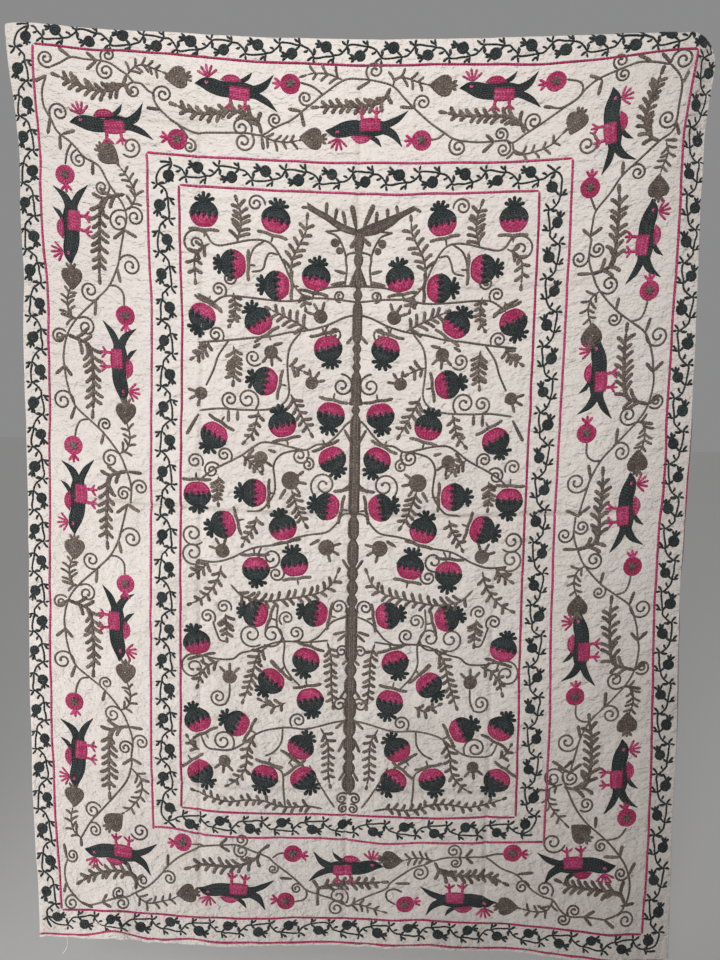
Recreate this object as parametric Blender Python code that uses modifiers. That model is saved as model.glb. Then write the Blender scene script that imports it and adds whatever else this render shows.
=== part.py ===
"""Suzani: a large embroidered cotton hanging, one hemmed cloth held up at its top corners.

The cloth is laid out flat from its own frames, then each point goes where it hangs: its side
and top margins turn to the back, its middle sags and its face waves softly. Metres, +Z up,
the face towards -Y, the origin on the crest of the top fold at the middle.
"""

import math

import bpy

# The flat cloth, from the field outwards. A side is left or right, an end is top or bottom.
FIELD_WIDTH = 0.775
FIELD_HEIGHT = 1.400
INNER_BAND_SIDE = 0.0685
INNER_BAND_END = 0.062
BORDER_SIDE = 0.234
BORDER_END = 0.205
OUTER_BAND = 0.058
HEM = 0.014

# How far the outer band's inner frame lies from the middle, and the cloth's own size.
FRAME_REACH = FIELD_WIDTH / 2 + INNER_BAND_SIDE + BORDER_SIDE
CLOTH_REACH = FRAME_REACH + OUTER_BAND + HEM
CLOTH_HEIGHT = FIELD_HEIGHT + 2 * (INNER_BAND_END + BORDER_END + OUTER_BAND + HEM)
FRAME_TOP = OUTER_BAND + HEM
HEM_LINE = CLOTH_HEIGHT - HEM

CLOTH_THICKNESS = 0.0018
HEM_THICKNESS = 0.0030
SIDE_FOLD_RADIUS = 0.0022
TOP_FOLD_RADIUS = 0.0064
LEAST_CURL = 0.0005
# The share of what lies past a bend's start that the bend may take, where little is turned back.
MOST_CURLED = 0.9

# Grid of the cloth: cells over each turned edge's bend, and over the face between the bends.
BEND_CELLS = 6
FACE_COLUMNS = 32
FACE_ROWS = 50

# What shows outside the frame before the cloth turns back: (place along the edge, margin).
# A place on a side is measured down from the flat cloth's top, on the top across from its middle.
LEFT_MARGIN = (
    (0.020, 0.060), (0.100, 0.056), (0.190, 0.049), (0.380, 0.045), (0.480, 0.047),
    (0.670, 0.056), (0.985, 0.051), (1.415, 0.048), (1.800, 0.052), (2.078, 0.055),
)
RIGHT_MARGIN = (
    (0.020, 0.042), (0.110, 0.048), (0.180, 0.051), (0.280, 0.052), (0.360, 0.048),
    (0.600, 0.050), (0.950, 0.058), (1.270, 0.056), (1.545, 0.058), (1.775, 0.055),
    (2.078, 0.066),
)
TOP_MARGIN = (
    (-0.762, 0.045), (-0.590, 0.046), (-0.425, 0.050), (-0.233, 0.052), (0.000, 0.054),
    (0.185, 0.055), (0.375, 0.053), (0.550, 0.045), (0.653, 0.037), (0.762, 0.031),
)

# How the cloth hangs below its flat place: (down from the top, at the middle, at the frame).
SAG = (
    (0.020, 0.022, -0.014), (0.072, 0.022, -0.014), (0.277, 0.015, -0.018),
    (0.400, 0.015, -0.022), (1.040, 0.015, -0.018), (1.739, 0.014, -0.020),
    (1.801, 0.012, -0.016), (2.006, 0.004, 0.008), (2.078, 0.002, 0.010),
)
# How far the frame moves right of its flat place: (down from the top, at the side).
LEFT_SHIFT = (
    (0.072, -0.007), (0.300, 0.001), (0.460, 0.004), (0.570, 0.012), (0.770, 0.012),
    (0.985, 0.006), (1.200, 0.004), (1.413, -0.001), (1.710, 0.000), (1.880, 0.006),
    (2.012, 0.010),
)
RIGHT_SHIFT = (
    (0.072, 0.003), (0.230, -0.016), (0.400, -0.014), (0.720, -0.015), (1.060, -0.019),
    (1.270, -0.016), (1.450, -0.010), (1.746, 0.000), (2.078, 0.000),
)
SHIFT_POWER = 1.5

# Lifts and drops of the hem: (across, half width, rise, push towards the viewer).
HEM_WAVES = (
    (-0.690, 0.045, -0.006, -0.004),
    (-0.546, 0.040, 0.012, 0.012),
    (-0.400, 0.070, 0.000, -0.006),
    (0.198, 0.055, 0.010, 0.008),
    (0.380, 0.080, 0.000, -0.006),
    (0.620, 0.060, -0.002, 0.006),
)
HEM_WAVE_HEIGHT = 0.34

# Soft folds of the face: (across, down, heading from straight down, length, half width, push).
SOFT_FOLDS = (
    (-0.680, 0.080, 38.0, 0.52, 0.034, 0.0050),
    (-0.700, 0.100, 16.0, 0.60, 0.030, 0.0040),
    (-0.640, 0.070, 60.0, 0.42, 0.030, 0.0035),
    (0.690, 0.080, -48.0, 0.46, 0.032, 0.0050),
    (0.680, 0.060, -72.0, 0.52, 0.028, 0.0035),
    (0.700, 0.120, -20.0, 0.50, 0.034, 0.0045),
    (-0.560, 0.780, 8.0, 0.70, 0.046, 0.0035),
    (0.560, 0.900, -6.0, 0.80, 0.050, 0.0040),
    (-0.230, 1.560, -4.0, 0.50, 0.060, 0.0040),
    (0.300, 1.480, 5.0, 0.58, 0.060, 0.0045),
    (0.000, 0.160, 0.0, 0.60, 0.080, 0.0030),
)
# Shares of a soft fold's length over which it rises at its start and dies away at its end.
FOLD_RISE = 0.2
FOLD_FADE = 0.6

# Long billows across the face: (wave length, turn at the middle in degrees, depth at the hem).
BILLOWS = ((0.940, 40.0, 0.0060), (0.520, 150.0, 0.0035))
BILLOW_AT_TOP = 0.35

# The upper right edge rolls away from the viewer, from a little inside the frame, and the roll
# dies away between two places down the cloth.
ROLL_DEPTH = 0.016
ROLL_WIDTH = 0.056
ROLL_INSIDE = 0.010
ROLL_FULL_TO = 0.210
ROLL_END = 0.630

# The two top corners, where the turned margins cross: how far in and down each is rounded.
LEFT_CORNER = (0.024, 0.010)
RIGHT_CORNER = (0.050, 0.052)

COTTON = (0.80, 0.74, 0.67, 1.0)
COTTON_ROUGHNESS = 0.92


def read_row(rows, place, column=1):
    """The column of a table at a place, on a smooth curve through its rows."""
    if place <= rows[0][0]:
        return rows[0][column]
    if place >= rows[-1][0]:
        return rows[-1][column]
    after = next(i for i, row in enumerate(rows) if row[0] > place)
    near = [rows[max(0, min(len(rows) - 1, after + k))] for k in (-2, -1, 0, 1)]
    spans = [max(1e-9, near[k + 1][0] - near[k][0]) for k in range(3)]
    rises = [(near[k + 1][column] - near[k][column]) / spans[k] for k in range(3)]
    leave = (rises[0] + rises[1]) / 2
    arrive = (rises[1] + rises[2]) / 2
    t = (place - near[1][0]) / spans[1]
    return (
        near[1][column] * (2 * t**3 - 3 * t**2 + 1)
        + leave * spans[1] * (t**3 - 2 * t**2 + t)
        + near[2][column] * (3 * t**2 - 2 * t**3)
        + arrive * spans[1] * (t**3 - t**2)
    )


def smooth_step(t):
    """0 below 0, 1 above 1, and a soft slope between."""
    t = max(0.0, min(1.0, t))
    return t * t * (3 - 2 * t)


def bell(distance, half_width):
    return math.exp(-((distance / half_width) ** 2))


def side_fold(down, side):
    """How far from the middle the bend of a side's turned margin starts."""
    margin = read_row(RIGHT_MARGIN if side > 0 else LEFT_MARGIN, down)
    return FRAME_REACH + margin - SIDE_FOLD_RADIUS


def top_fold(across):
    """How far down the flat cloth the bend of its top margin ends."""
    return FRAME_TOP - read_row(TOP_MARGIN, across) + TOP_FOLD_RADIUS


def fold_back(past, radius, layer=0.0):
    """(how far a point still goes outwards, its depth) past the start of a bend. Layers nest."""
    angle = min(past / radius, math.pi)
    inner = radius - layer
    back = past - angle * radius
    return inner * math.sin(angle) - back, radius - inner * math.cos(angle)


def round_corner(across, down, side):
    """Draws a top corner of the outline in, as a square goes to a disc."""
    width, height = RIGHT_CORNER if side > 0 else LEFT_CORNER
    edge = side_fold(0.0, side) + SIDE_FOLD_RADIUS
    crest = top_fold(side * edge) - TOP_FOLD_RADIUS
    p = (side * across - (edge - width)) / width
    q = (crest + height - down) / height
    if p <= 0 or q <= 0:
        return across, down
    p_most = min(p, 1.0)
    q_most = min(q, 1.0)
    new_p = p * math.sqrt(1 - q_most**2 / 2)
    new_q = q * math.sqrt(1 - p_most**2 / 2)
    return side * (edge - width + new_p * width), crest + height - new_q * height


def soft_fold_push(across, down):
    """How far the face stands towards the viewer on its soft folds."""
    push = 0.0
    for start_across, start_down, heading, length, half_width, height in SOFT_FOLDS:
        turn = math.radians(heading)
        dx = across - start_across
        dy = down - start_down
        along = dx * math.sin(turn) + dy * math.cos(turn)
        beside = dx * math.cos(turn) - dy * math.sin(turn)
        wide = half_width * (1 + max(0.0, along) / length)
        share = along / length
        fade = smooth_step(0.5 + share / FOLD_RISE) * smooth_step((1 - share) / FOLD_FADE)
        push += height * fade * bell(beside, wide)
    return push


def billow(across, down):
    share = BILLOW_AT_TOP + (1 - BILLOW_AT_TOP) * down / CLOTH_HEIGHT
    return sum(
        depth * share * math.sin(2 * math.pi * across / length + math.radians(turn))
        for length, turn, depth in BILLOWS
    )


def hem_wave(across, down, column):
    fade = smooth_step((down - CLOTH_HEIGHT + HEM_WAVE_HEIGHT) / HEM_WAVE_HEIGHT) ** 2
    return fade * sum(row[column] * bell(across - row[0], row[1]) for row in HEM_WAVES)


def hung_point(across, down):
    """Where a point of the flat cloth hangs, from its place across and down."""
    side = 1 if across > 0 else -1
    reach = abs(across)
    layer = 0.0
    start = side_fold(down, side)
    if reach > start:
        further, layer = fold_back(reach - start, SIDE_FOLD_RADIUS)
        reach = start + further
    x = side * reach
    low = down
    depth = layer
    crest = top_fold(x)
    if down < crest:
        further, depth = fold_back(crest - down, TOP_FOLD_RADIUS, layer)
        low = crest - further
    x, low = round_corner(x, low, side)

    out = min(1.0, abs(x) / FRAME_REACH)
    shift = read_row(RIGHT_SHIFT if side > 0 else LEFT_SHIFT, low) * out**SHIFT_POWER
    middle = read_row(SAG, low, 1)
    at_side = read_row(SAG, low, 2)
    sag = at_side + (middle - at_side) * (1 - out**2)
    sag -= hem_wave(x, low, 2)
    roll = ROLL_DEPTH * smooth_step((x - FRAME_REACH + ROLL_INSIDE) / ROLL_WIDTH)
    roll *= 1 - smooth_step((low - ROLL_FULL_TO) / (ROLL_END - ROLL_FULL_TO))
    y = depth - TOP_FOLD_RADIUS + roll + billow(x, low)
    y -= soft_fold_push(x, low) + hem_wave(x, low, 3)
    level = FRAME_TOP + read_row(SAG, FRAME_TOP, 1) - read_row(TOP_MARGIN, 0.0)
    return x + shift, y, level - low - sag


def bend_stations(start, edge, radius):
    """Flat distances over a bend, from the cloth's edge to where the bend starts."""
    arc = min(math.pi * radius, (edge - start) * MOST_CURLED)
    arc = max(arc, LEAST_CURL)
    return [edge] + [start + arc * (BEND_CELLS - k) / BEND_CELLS for k in range(BEND_CELLS + 1)]


def row_places(across):
    """Each row's place down the flat cloth, at one place across it."""
    crest = top_fold(across)
    turned = [-d for d in bend_stations(-crest, 0.0, TOP_FOLD_RADIUS)]
    face = [crest + (HEM_LINE - crest) * k / FACE_ROWS for k in range(1, FACE_ROWS + 1)]
    return turned + face + [CLOTH_HEIGHT]


def column_places(down):
    """Each column's place across the flat cloth, at one place down it."""
    left_start = side_fold(down, -1)
    right_start = side_fold(down, 1)
    left = [-d for d in bend_stations(left_start, CLOTH_REACH, SIDE_FOLD_RADIUS)]
    right = bend_stations(right_start, CLOTH_REACH, SIDE_FOLD_RADIUS)[::-1]
    width = left_start + right_start
    face = [-left_start + width * k / FACE_COLUMNS for k in range(1, FACE_COLUMNS)]
    return left + face + right


def clear_scene():
    for obj in list(bpy.data.objects):
        bpy.data.objects.remove(obj, do_unlink=True)


def cotton_material():
    material = bpy.data.materials.new("cotton")
    material.use_nodes = True
    shader = material.node_tree.nodes["Principled BSDF"]
    shader.inputs["Base Color"].default_value = COTTON
    shader.inputs["Roughness"].default_value = COTTON_ROUGHNESS
    shader.inputs["Metallic"].default_value = 0.0
    return material


def make_cloth(collection):
    """The one cloth: a grid with a vertex at each station, hung, then given its thickness."""
    columns = len(column_places(CLOTH_HEIGHT / 2))
    rows = len(row_places(0.0))
    bpy.ops.mesh.primitive_grid_add(x_subdivisions=columns - 1, y_subdivisions=rows - 1, size=2)
    cloth = bpy.context.object
    cloth.name = "cloth"
    hem = cloth.vertex_groups.new(name="thickness")
    thin = CLOTH_THICKNESS / HEM_THICKNESS
    for vertex in cloth.data.vertices:
        column = round((vertex.co.x + 1) / 2 * (columns - 1))
        row = round((1 - vertex.co.y) / 2 * (rows - 1))
        down = row_places(vertex.co.x * FRAME_REACH)[row]
        across = column_places(down)[column]
        vertex.co = hung_point(across, down)
        hem.add([vertex.index], 1.0 if down >= HEM_LINE else thin, "REPLACE")
    wall = cloth.modifiers.new("thickness", "SOLIDIFY")
    wall.thickness = HEM_THICKNESS
    wall.offset = 0.0
    wall.vertex_group = hem.name
    cloth.data.materials.append(cotton_material())
    cloth.data.shade_smooth()
    for other in list(cloth.users_collection):
        other.objects.unlink(cloth)
    collection.objects.link(cloth)
    return cloth


def main():
    clear_scene()
    hanging = bpy.data.collections.new("suzani")
    bpy.context.scene.collection.children.link(hanging)
    make_cloth(hanging)


main()
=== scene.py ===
import math

import bpy
import numpy as np
from mathutils import Euler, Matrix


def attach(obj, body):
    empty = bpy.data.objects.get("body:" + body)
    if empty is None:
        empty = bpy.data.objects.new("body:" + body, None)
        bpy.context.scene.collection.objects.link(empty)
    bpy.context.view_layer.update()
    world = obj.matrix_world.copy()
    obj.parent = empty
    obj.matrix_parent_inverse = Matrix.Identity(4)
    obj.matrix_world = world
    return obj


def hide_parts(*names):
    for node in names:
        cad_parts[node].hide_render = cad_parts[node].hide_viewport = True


# Suzani hanging: a hung cotton cloth and its raised wool embroidery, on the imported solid.
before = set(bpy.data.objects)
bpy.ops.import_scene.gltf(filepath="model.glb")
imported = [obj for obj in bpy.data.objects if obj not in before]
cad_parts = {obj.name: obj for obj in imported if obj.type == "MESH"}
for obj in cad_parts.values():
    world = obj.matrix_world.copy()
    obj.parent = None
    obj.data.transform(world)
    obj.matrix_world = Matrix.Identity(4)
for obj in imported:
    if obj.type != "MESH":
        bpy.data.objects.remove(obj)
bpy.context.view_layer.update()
print("frame loaded:", len(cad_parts), "node")

# The flat cloth, metres: sides are left and right, ends are top and bottom.
cloth = {
    "fieldWidth": 0.775, "fieldHeight": 1.400,
    "innerBandSide": 0.0685, "innerBandEnd": 0.062,
    "borderSide": 0.234, "borderEnd": 0.205,
    "outerBand": 0.058, "hem": 0.014,
    "sideFold": 0.0022, "topFold": 0.0064, "hemFold": 0.0012,
    "thickness": 0.0010, "hemThickness": 0.0018,
    "columns": 150, "rows": 204, "bendCells": 9,
}
frameReach = cloth["fieldWidth"] / 2 + cloth["innerBandSide"] + cloth["borderSide"]
clothReach = frameReach + cloth["outerBand"] + cloth["hem"]
frameTop = cloth["outerBand"] + cloth["hem"]
fieldTop = frameTop + cloth["borderEnd"] + cloth["innerBandEnd"]
clothHeight = cloth["fieldHeight"] + 2 * fieldTop

# How the cloth hangs: the same rows of numbers as the solid's own source.
leftMargin = (
    (0.020, 0.060), (0.100, 0.056), (0.190, 0.049), (0.380, 0.045), (0.480, 0.047),
    (0.670, 0.056), (0.985, 0.051), (1.415, 0.048), (1.800, 0.052), (2.078, 0.055),
)
rightMargin = (
    (0.020, 0.042), (0.110, 0.048), (0.180, 0.051), (0.280, 0.052), (0.360, 0.048),
    (0.600, 0.050), (0.950, 0.058), (1.270, 0.056), (1.545, 0.058), (1.775, 0.055),
    (2.078, 0.066),
)
topMargin = (
    (-0.762, 0.045), (-0.590, 0.046), (-0.425, 0.050), (-0.233, 0.052), (0.000, 0.054),
    (0.185, 0.055), (0.375, 0.053), (0.550, 0.045), (0.653, 0.037), (0.762, 0.031),
)
sag = (
    (0.020, 0.022, -0.014), (0.072, 0.022, -0.014), (0.277, 0.015, -0.018),
    (0.400, 0.015, -0.022), (1.040, 0.015, -0.018), (1.739, 0.014, -0.020),
    (1.801, 0.012, -0.016), (2.006, 0.004, 0.008), (2.078, 0.002, 0.010),
)
leftShift = (
    (0.072, -0.007), (0.300, 0.001), (0.460, 0.004), (0.570, 0.012), (0.770, 0.012),
    (0.985, 0.006), (1.200, 0.004), (1.413, -0.001), (1.710, 0.000), (1.880, 0.006),
    (2.012, 0.010),
)
rightShift = (
    (0.072, 0.003), (0.230, -0.016), (0.400, -0.014), (0.720, -0.015), (1.060, -0.019),
    (1.270, -0.016), (1.450, -0.010), (1.746, 0.000), (2.078, 0.000),
)
hemWaves = (
    (-0.690, 0.045, -0.006, -0.004), (-0.546, 0.040, 0.012, 0.012),
    (-0.400, 0.070, 0.000, -0.006), (0.198, 0.055, 0.010, 0.008),
    (0.380, 0.080, 0.000, -0.006), (0.620, 0.060, -0.002, 0.006),
)
softFolds = (
    (-0.680, 0.080, 38.0, 0.52, 0.034, 0.0050), (-0.700, 0.100, 16.0, 0.60, 0.030, 0.0040),
    (-0.640, 0.070, 60.0, 0.42, 0.030, 0.0035), (0.690, 0.080, -48.0, 0.46, 0.032, 0.0050),
    (0.680, 0.060, -72.0, 0.52, 0.028, 0.0035), (0.700, 0.120, -20.0, 0.50, 0.034, 0.0045),
    (-0.560, 0.780, 8.0, 0.70, 0.046, 0.0035), (0.560, 0.900, -6.0, 0.80, 0.050, 0.0040),
    (-0.230, 1.560, -4.0, 0.50, 0.060, 0.0040), (0.300, 1.480, 5.0, 0.58, 0.060, 0.0045),
    (0.000, 0.160, 0.0, 0.60, 0.080, 0.0030),
)
billows = ((0.940, 40.0, 0.0060), (0.520, 150.0, 0.0035))
hang = {
    "hemWaveHeight": 0.34, "foldRise": 0.2, "foldFade": 0.6, "billowAtTop": 0.35,
    "shiftPower": 1.5, "rollDepth": 0.016, "rollWidth": 0.056, "rollInside": 0.010,
    "rollFullTo": 0.210, "rollEnd": 0.630,
    "leftCorner": (0.024, 0.010), "rightCorner": (0.050, 0.052),
}
# A small fold that runs slantwise to the hem: across, down, heading, length, half width, height.
hemFolds = ((-0.610, 2.020, 78.0, 0.17, 0.010, 0.0050), (-0.360, 2.040, 60.0, 0.10, 0.012, 0.0030))
ragged = {"height": 0.0026, "length": 0.021, "above": 0.016}

# Storage creases: (across or down, place, from, to, depth of the trough).
creases = (
    ("down", 1.034, -0.70, 0.72, 0.0070), ("down", 0.540, -0.30, 0.60, 0.0034),
    ("down", 0.212, -0.70, -0.20, 0.0034), ("down", 1.680, -0.66, 0.66, 0.0046),
    ("across", -0.345, 0.10, 2.00, 0.0046), ("across", -0.004, 0.06, 2.05, 0.0052),
    ("across", 0.322, 1.10, 2.05, 0.0044),
)
# Crease look: half widths of the trough and its flank, fade at the ends, and half width and strength of the painted
# shade that darkens each crease.
creaseLook = {"halfWidth": 0.0046, "flank": 0.026, "fade": 0.12, "paintedShade": 0.0034, "dark": 0.26}
puckers = ((0.030, 0.0009, 3), (0.062, 0.0019, 5), (0.150, 0.0034, 8))


def readRow(rows, place, column=1):
    table = np.array(rows)
    knots, values = table[:, 0], table[:, column]
    slopes = np.diff(values) / np.diff(knots)
    tangents = np.concatenate([[0], (slopes[:-1] + slopes[1:]) / 2, [0]])
    tangents[0], tangents[-1] = slopes[0] / 2, slopes[-1] / 2
    i = np.clip(np.searchsorted(knots, place, side="right") - 1, 0, len(knots) - 2)
    span = knots[i + 1] - knots[i]
    t = np.clip((place - knots[i]) / span, 0, 1)
    curve = values[i] * (2 * t**3 - 3 * t**2 + 1) + values[i + 1] * (3 * t**2 - 2 * t**3)
    return curve + span * (tangents[i] * (t**3 - 2 * t**2 + t) + tangents[i + 1] * (t**3 - t**2))


def smoothStep(t):
    t = np.clip(t, 0, 1)
    return t * t * (3 - 2 * t)


def bell(distance, halfWidth):
    return np.exp(-((distance / halfWidth) ** 2))


# Soft random unevenness: a lattice of seeded heights, read smoothly between.
def unevenness(across, down, length, seed):
    heights = np.random.default_rng(seed).uniform(-1, 1, (96, 96))
    x = (across + 1.0) / length
    y = (down + 0.3) / length
    i, j = np.floor(x).astype(int), np.floor(y).astype(int)
    fx, fy = smoothStep(x - i), smoothStep(y - j)
    i, j = i % 95, j % 95
    near = heights[i, j] * (1 - fx) + heights[i + 1, j] * fx
    far = heights[i, j + 1] * (1 - fx) + heights[i + 1, j + 1] * fx
    return near * (1 - fy) + far * fy


def sideFoldStart(down, side):
    margin = np.where(side > 0, readRow(rightMargin, down), readRow(leftMargin, down))
    return frameReach + margin - cloth["sideFold"]


def topFoldStart(across):
    return frameTop - readRow(topMargin, across) + cloth["topFold"]


def foldBack(past, radius, layer=0.0):
    angle = np.minimum(past / radius, math.pi)
    inner = radius - layer
    back = past - angle * radius
    return inner * np.sin(angle) - back, radius - inner * np.cos(angle)


def roundCorner(across, down, side):
    for way, corner in ((1, hang["rightCorner"]), (-1, hang["leftCorner"])):
        width, height = corner
        edge = float(sideFoldStart(np.zeros(1), np.full(1, way))[0]) + cloth["sideFold"]
        crest = float(topFoldStart(np.full(1, way * edge))[0]) - cloth["topFold"]
        p = (way * across - (edge - width)) / width
        q = (crest + height - down) / height
        inside = (side == way) & (p > 0) & (q > 0)
        pMost, qMost = np.clip(p, 0, 1), np.clip(q, 0, 1)
        newAcross = way * (edge - width + p * np.sqrt(1 - qMost**2 / 2) * width)
        newDown = crest + height - q * np.sqrt(1 - pMost**2 / 2) * height
        across = np.where(inside, newAcross, across)
        down = np.where(inside, newDown, down)
    return across, down


def softFoldPush(across, down):
    push = np.zeros_like(across)
    for startAcross, startDown, heading, length, halfWidth, height in softFolds + hemFolds:
        turn = math.radians(heading)
        dx, dy = across - startAcross, down - startDown
        along = dx * math.sin(turn) + dy * math.cos(turn)
        beside = dx * math.cos(turn) - dy * math.sin(turn)
        wide = halfWidth * (1 + np.maximum(0, along) / length)
        share = along / length
        fade = smoothStep(0.5 + share / hang["foldRise"])
        fade = fade * smoothStep((1 - share) / hang["foldFade"])
        push += height * fade * bell(beside, wide)
    return push


def billow(across, down):
    share = hang["billowAtTop"] + (1 - hang["billowAtTop"]) * down / clothHeight
    return sum(
        depth * share * np.sin(2 * math.pi * across / length + math.radians(turn))
        for length, turn, depth in billows
    )


def hemWave(across, down, column):
    height = hang["hemWaveHeight"]
    fade = smoothStep((down - clothHeight + height) / height) ** 2
    return fade * sum(row[column] * bell(across - row[0], row[1]) for row in hemWaves)


# The fine shape that only the look needs: creases, and the pucker of worked cotton.
def fineShape(across, down):
    push = np.zeros_like(across)
    for way, place, start, end, depth in creases:
        beside, along = (down - place, across) if way == "down" else (across - place, down)
        fade = smoothStep((along - start) / creaseLook["fade"])
        fade = fade * smoothStep((end - along) / creaseLook["fade"])
        trough = 0.7 * bell(beside, creaseLook["halfWidth"]) + 0.3 * bell(beside, creaseLook["flank"])
        push += depth * fade * trough
    for length, height, seed in puckers:
        push += height * unevenness(across, down, length, seed)
    return push


def hangMiddle(across, down):
    side = np.where(across > 0, 1.0, -1.0)
    reach = np.abs(across)
    start = sideFoldStart(down, side)
    further, layer = foldBack(np.maximum(reach - start, 0), cloth["sideFold"])
    x = side * np.where(reach > start, start + further, reach)
    crest = topFoldStart(x)
    turned, depth = foldBack(np.maximum(crest - down, 0), cloth["topFold"], layer)
    low = np.where(down < crest, crest - turned, down)
    depth = np.where(down < crest, depth, layer)
    x, low = roundCorner(x, low, side)
    out = np.minimum(1.0, np.abs(x) / frameReach)
    shift = np.where(side > 0, readRow(rightShift, low), readRow(leftShift, low))
    atSide = readRow(sag, low, 2)
    drop = atSide + (readRow(sag, low, 1) - atSide) * (1 - out**2) - hemWave(x, low, 2)
    near = smoothStep((low - clothHeight + ragged["above"]) / ragged["above"])
    drop = drop + ragged["height"] * near * unevenness(x, 0 * low, ragged["length"], 12)
    roll = hang["rollDepth"] * smoothStep((x - frameReach + hang["rollInside"]) / hang["rollWidth"])
    roll *= 1 - smoothStep((low - hang["rollFullTo"]) / (hang["rollEnd"] - hang["rollFullTo"]))
    y = depth - cloth["topFold"] + roll + billow(x, low)
    y += fineShape(x, low) - softFoldPush(x, low) - hemWave(x, low, 3)
    level = frameTop + float(readRow(sag, np.full(1, frameTop))[0]) - topMargin[4][1]
    return np.stack([x + shift * out ** hang["shiftPower"], y, level - low - drop], axis=1)


# A point of the flat cloth, lifted off its middle surface: up is towards the worked side.
def hangCloth(across, down, lift, step=0.0004):
    across, down, lift = (np.asarray(a, float) for a in (across, down, lift))
    hemEdge = clothHeight - cloth["hemFold"]
    further, depth = foldBack(np.maximum(down - hemEdge, 0), cloth["hemFold"])
    low = np.where(down > hemEdge, hemEdge + further, down)
    middle = hangMiddle(across, low)
    alongAcross = hangMiddle(across + step, low) - middle
    alongDown = hangMiddle(across, low + step) - middle
    normal = np.cross(alongDown, alongAcross)
    normal /= np.linalg.norm(normal, axis=1, keepdims=True)
    turnedRound = np.where(down > hemEdge + math.pi * cloth["hemFold"], -1.0, 1.0)
    return middle + normal * (lift * turnedRound - depth)[:, None]


# Camera at the photograph's angle.
camera = {
    "location": (0.0476, -1.5931, -0.7704), "turn": (84.330, -1.170, 1.372),
    "lens": 27.0, "sensor": 36.0,
}
bpy.ops.object.camera_add(location=camera["location"])
shot = bpy.context.object
shot.name = "shot"
shot.rotation_euler = Euler([math.radians(a) for a in camera["turn"]], "XYZ")
shot.data.lens = camera["lens"]
shot.data.sensor_width = camera["sensor"]
shot.data.sensor_fit = "AUTO"
bpy.context.scene.camera = shot

# Lamps: a soft lamp high in front, a soft one low at the left, and a pale room.
lamps = {
    "key": {"at": (-0.55, -2.7, 0.8), "aim": (-0.10, 0.0, -0.25), "radius": 0.45, "cone": 58.0, "power": 318.0},
    "side": {"at": (-2.0, -1.7, -1.6), "aim": (-0.75, 0.0, -1.7), "radius": 0.40, "cone": 70.0, "power": 150.0},
    "room": (0.52, 0.52, 0.525), "roomPower": 0.50,
}


def addLamp(name, spec):
    bpy.ops.object.light_add(type="SPOT", location=spec["at"])
    lamp = bpy.context.object
    lamp.name = name
    lamp.data.shadow_soft_size = spec["radius"]
    lamp.data.spot_size = math.radians(spec["cone"])
    lamp.data.spot_blend = 1.0
    lamp.data.energy = spec["power"]
    aim = np.array(spec["aim"]) - np.array(spec["at"])
    flat = math.hypot(aim[0], aim[1])
    lamp.rotation_euler = (math.atan2(flat, -aim[2]), 0, math.atan2(aim[1], aim[0]) - math.pi / 2)


addLamp("keyLamp", lamps["key"])
addLamp("sideLamp", lamps["side"])
world = bpy.data.worlds.new("room")
world.use_nodes = True
world.node_tree.nodes["Background"].inputs[0].default_value = (*lamps["room"], 1)
world.node_tree.nodes["Background"].inputs[1].default_value = lamps["roomPower"]
bpy.context.scene.world = world
bpy.context.scene.view_settings.view_transform = "Standard"
print("camera and lamps set")

# Materials.
colours = {
    "cotton": (0.800, 0.735, 0.680), "cottonShade": (0.690, 0.625, 0.572),
    "charcoal": ((0.008, 0.012, 0.012), (0.023, 0.032, 0.032), (0.068, 0.088, 0.088)),
    "pink": ((0.270, 0.008, 0.060), (0.470, 0.026, 0.125), (0.760, 0.160, 0.330)),
    "taupe": ((0.060, 0.042, 0.033), (0.135, 0.100, 0.082), (0.290, 0.235, 0.200)),
    "thread": (0.78, 0.71, 0.63), "floor": (0.92, 0.915, 0.90),
}


def newMaterial(name):
    material = bpy.data.materials.new(name)
    material.use_nodes = True
    nodes, links = material.node_tree.nodes, material.node_tree.links
    return material, nodes, links, nodes["Principled BSDF"]


def mathNode(nodes, links, operation, first, second=None):
    node = nodes.new("ShaderNodeMath")
    node.operation = operation
    for socket, value in ((node.inputs[0], first), (node.inputs[1], second)):
        if value is None:
            continue
        if isinstance(value, (int, float)):
            socket.default_value = value
        else:
            links.new(value, socket)
    return node.outputs[0]


def noiseNode(nodes, links, vector, scale, detail=3.0, roughness=0.6):
    noise = nodes.new("ShaderNodeTexNoise")
    noise.inputs["Scale"].default_value = scale
    noise.inputs["Detail"].default_value = detail
    noise.inputs["Roughness"].default_value = roughness
    links.new(vector, noise.inputs["Vector"])
    return noise.outputs["Fac"]


def rampNode(nodes, links, factor, stops):
    ramp = nodes.new("ShaderNodeValToRGB")
    while len(ramp.color_ramp.elements) < len(stops):
        ramp.color_ramp.elements.new(0.5)
    for element, (place, colour) in zip(ramp.color_ramp.elements, stops):
        element.position = place
        element.color = (*colour, 1)
    links.new(factor, ramp.inputs["Fac"])
    return ramp.outputs["Color"]


def bumpNode(nodes, links, height, strength, distance, before=None):
    bump = nodes.new("ShaderNodeBump")
    bump.inputs["Strength"].default_value = strength
    bump.inputs["Distance"].default_value = distance
    links.new(height, bump.inputs["Height"])
    if before is not None:
        links.new(before, bump.inputs["Normal"])
    return bump.outputs["Normal"]


# Wool: the row's own tone, flecks of the fibre, and chevrons of the stitch along the row, as bumps and as painted
# shade in the colour.
wool = {"link": 0.0062, "slant": 0.55, "fleck": 900.0, "patch": 42.0, "grain": 270.0, "roughness": 0.9, "sheen": 0.22}


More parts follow.
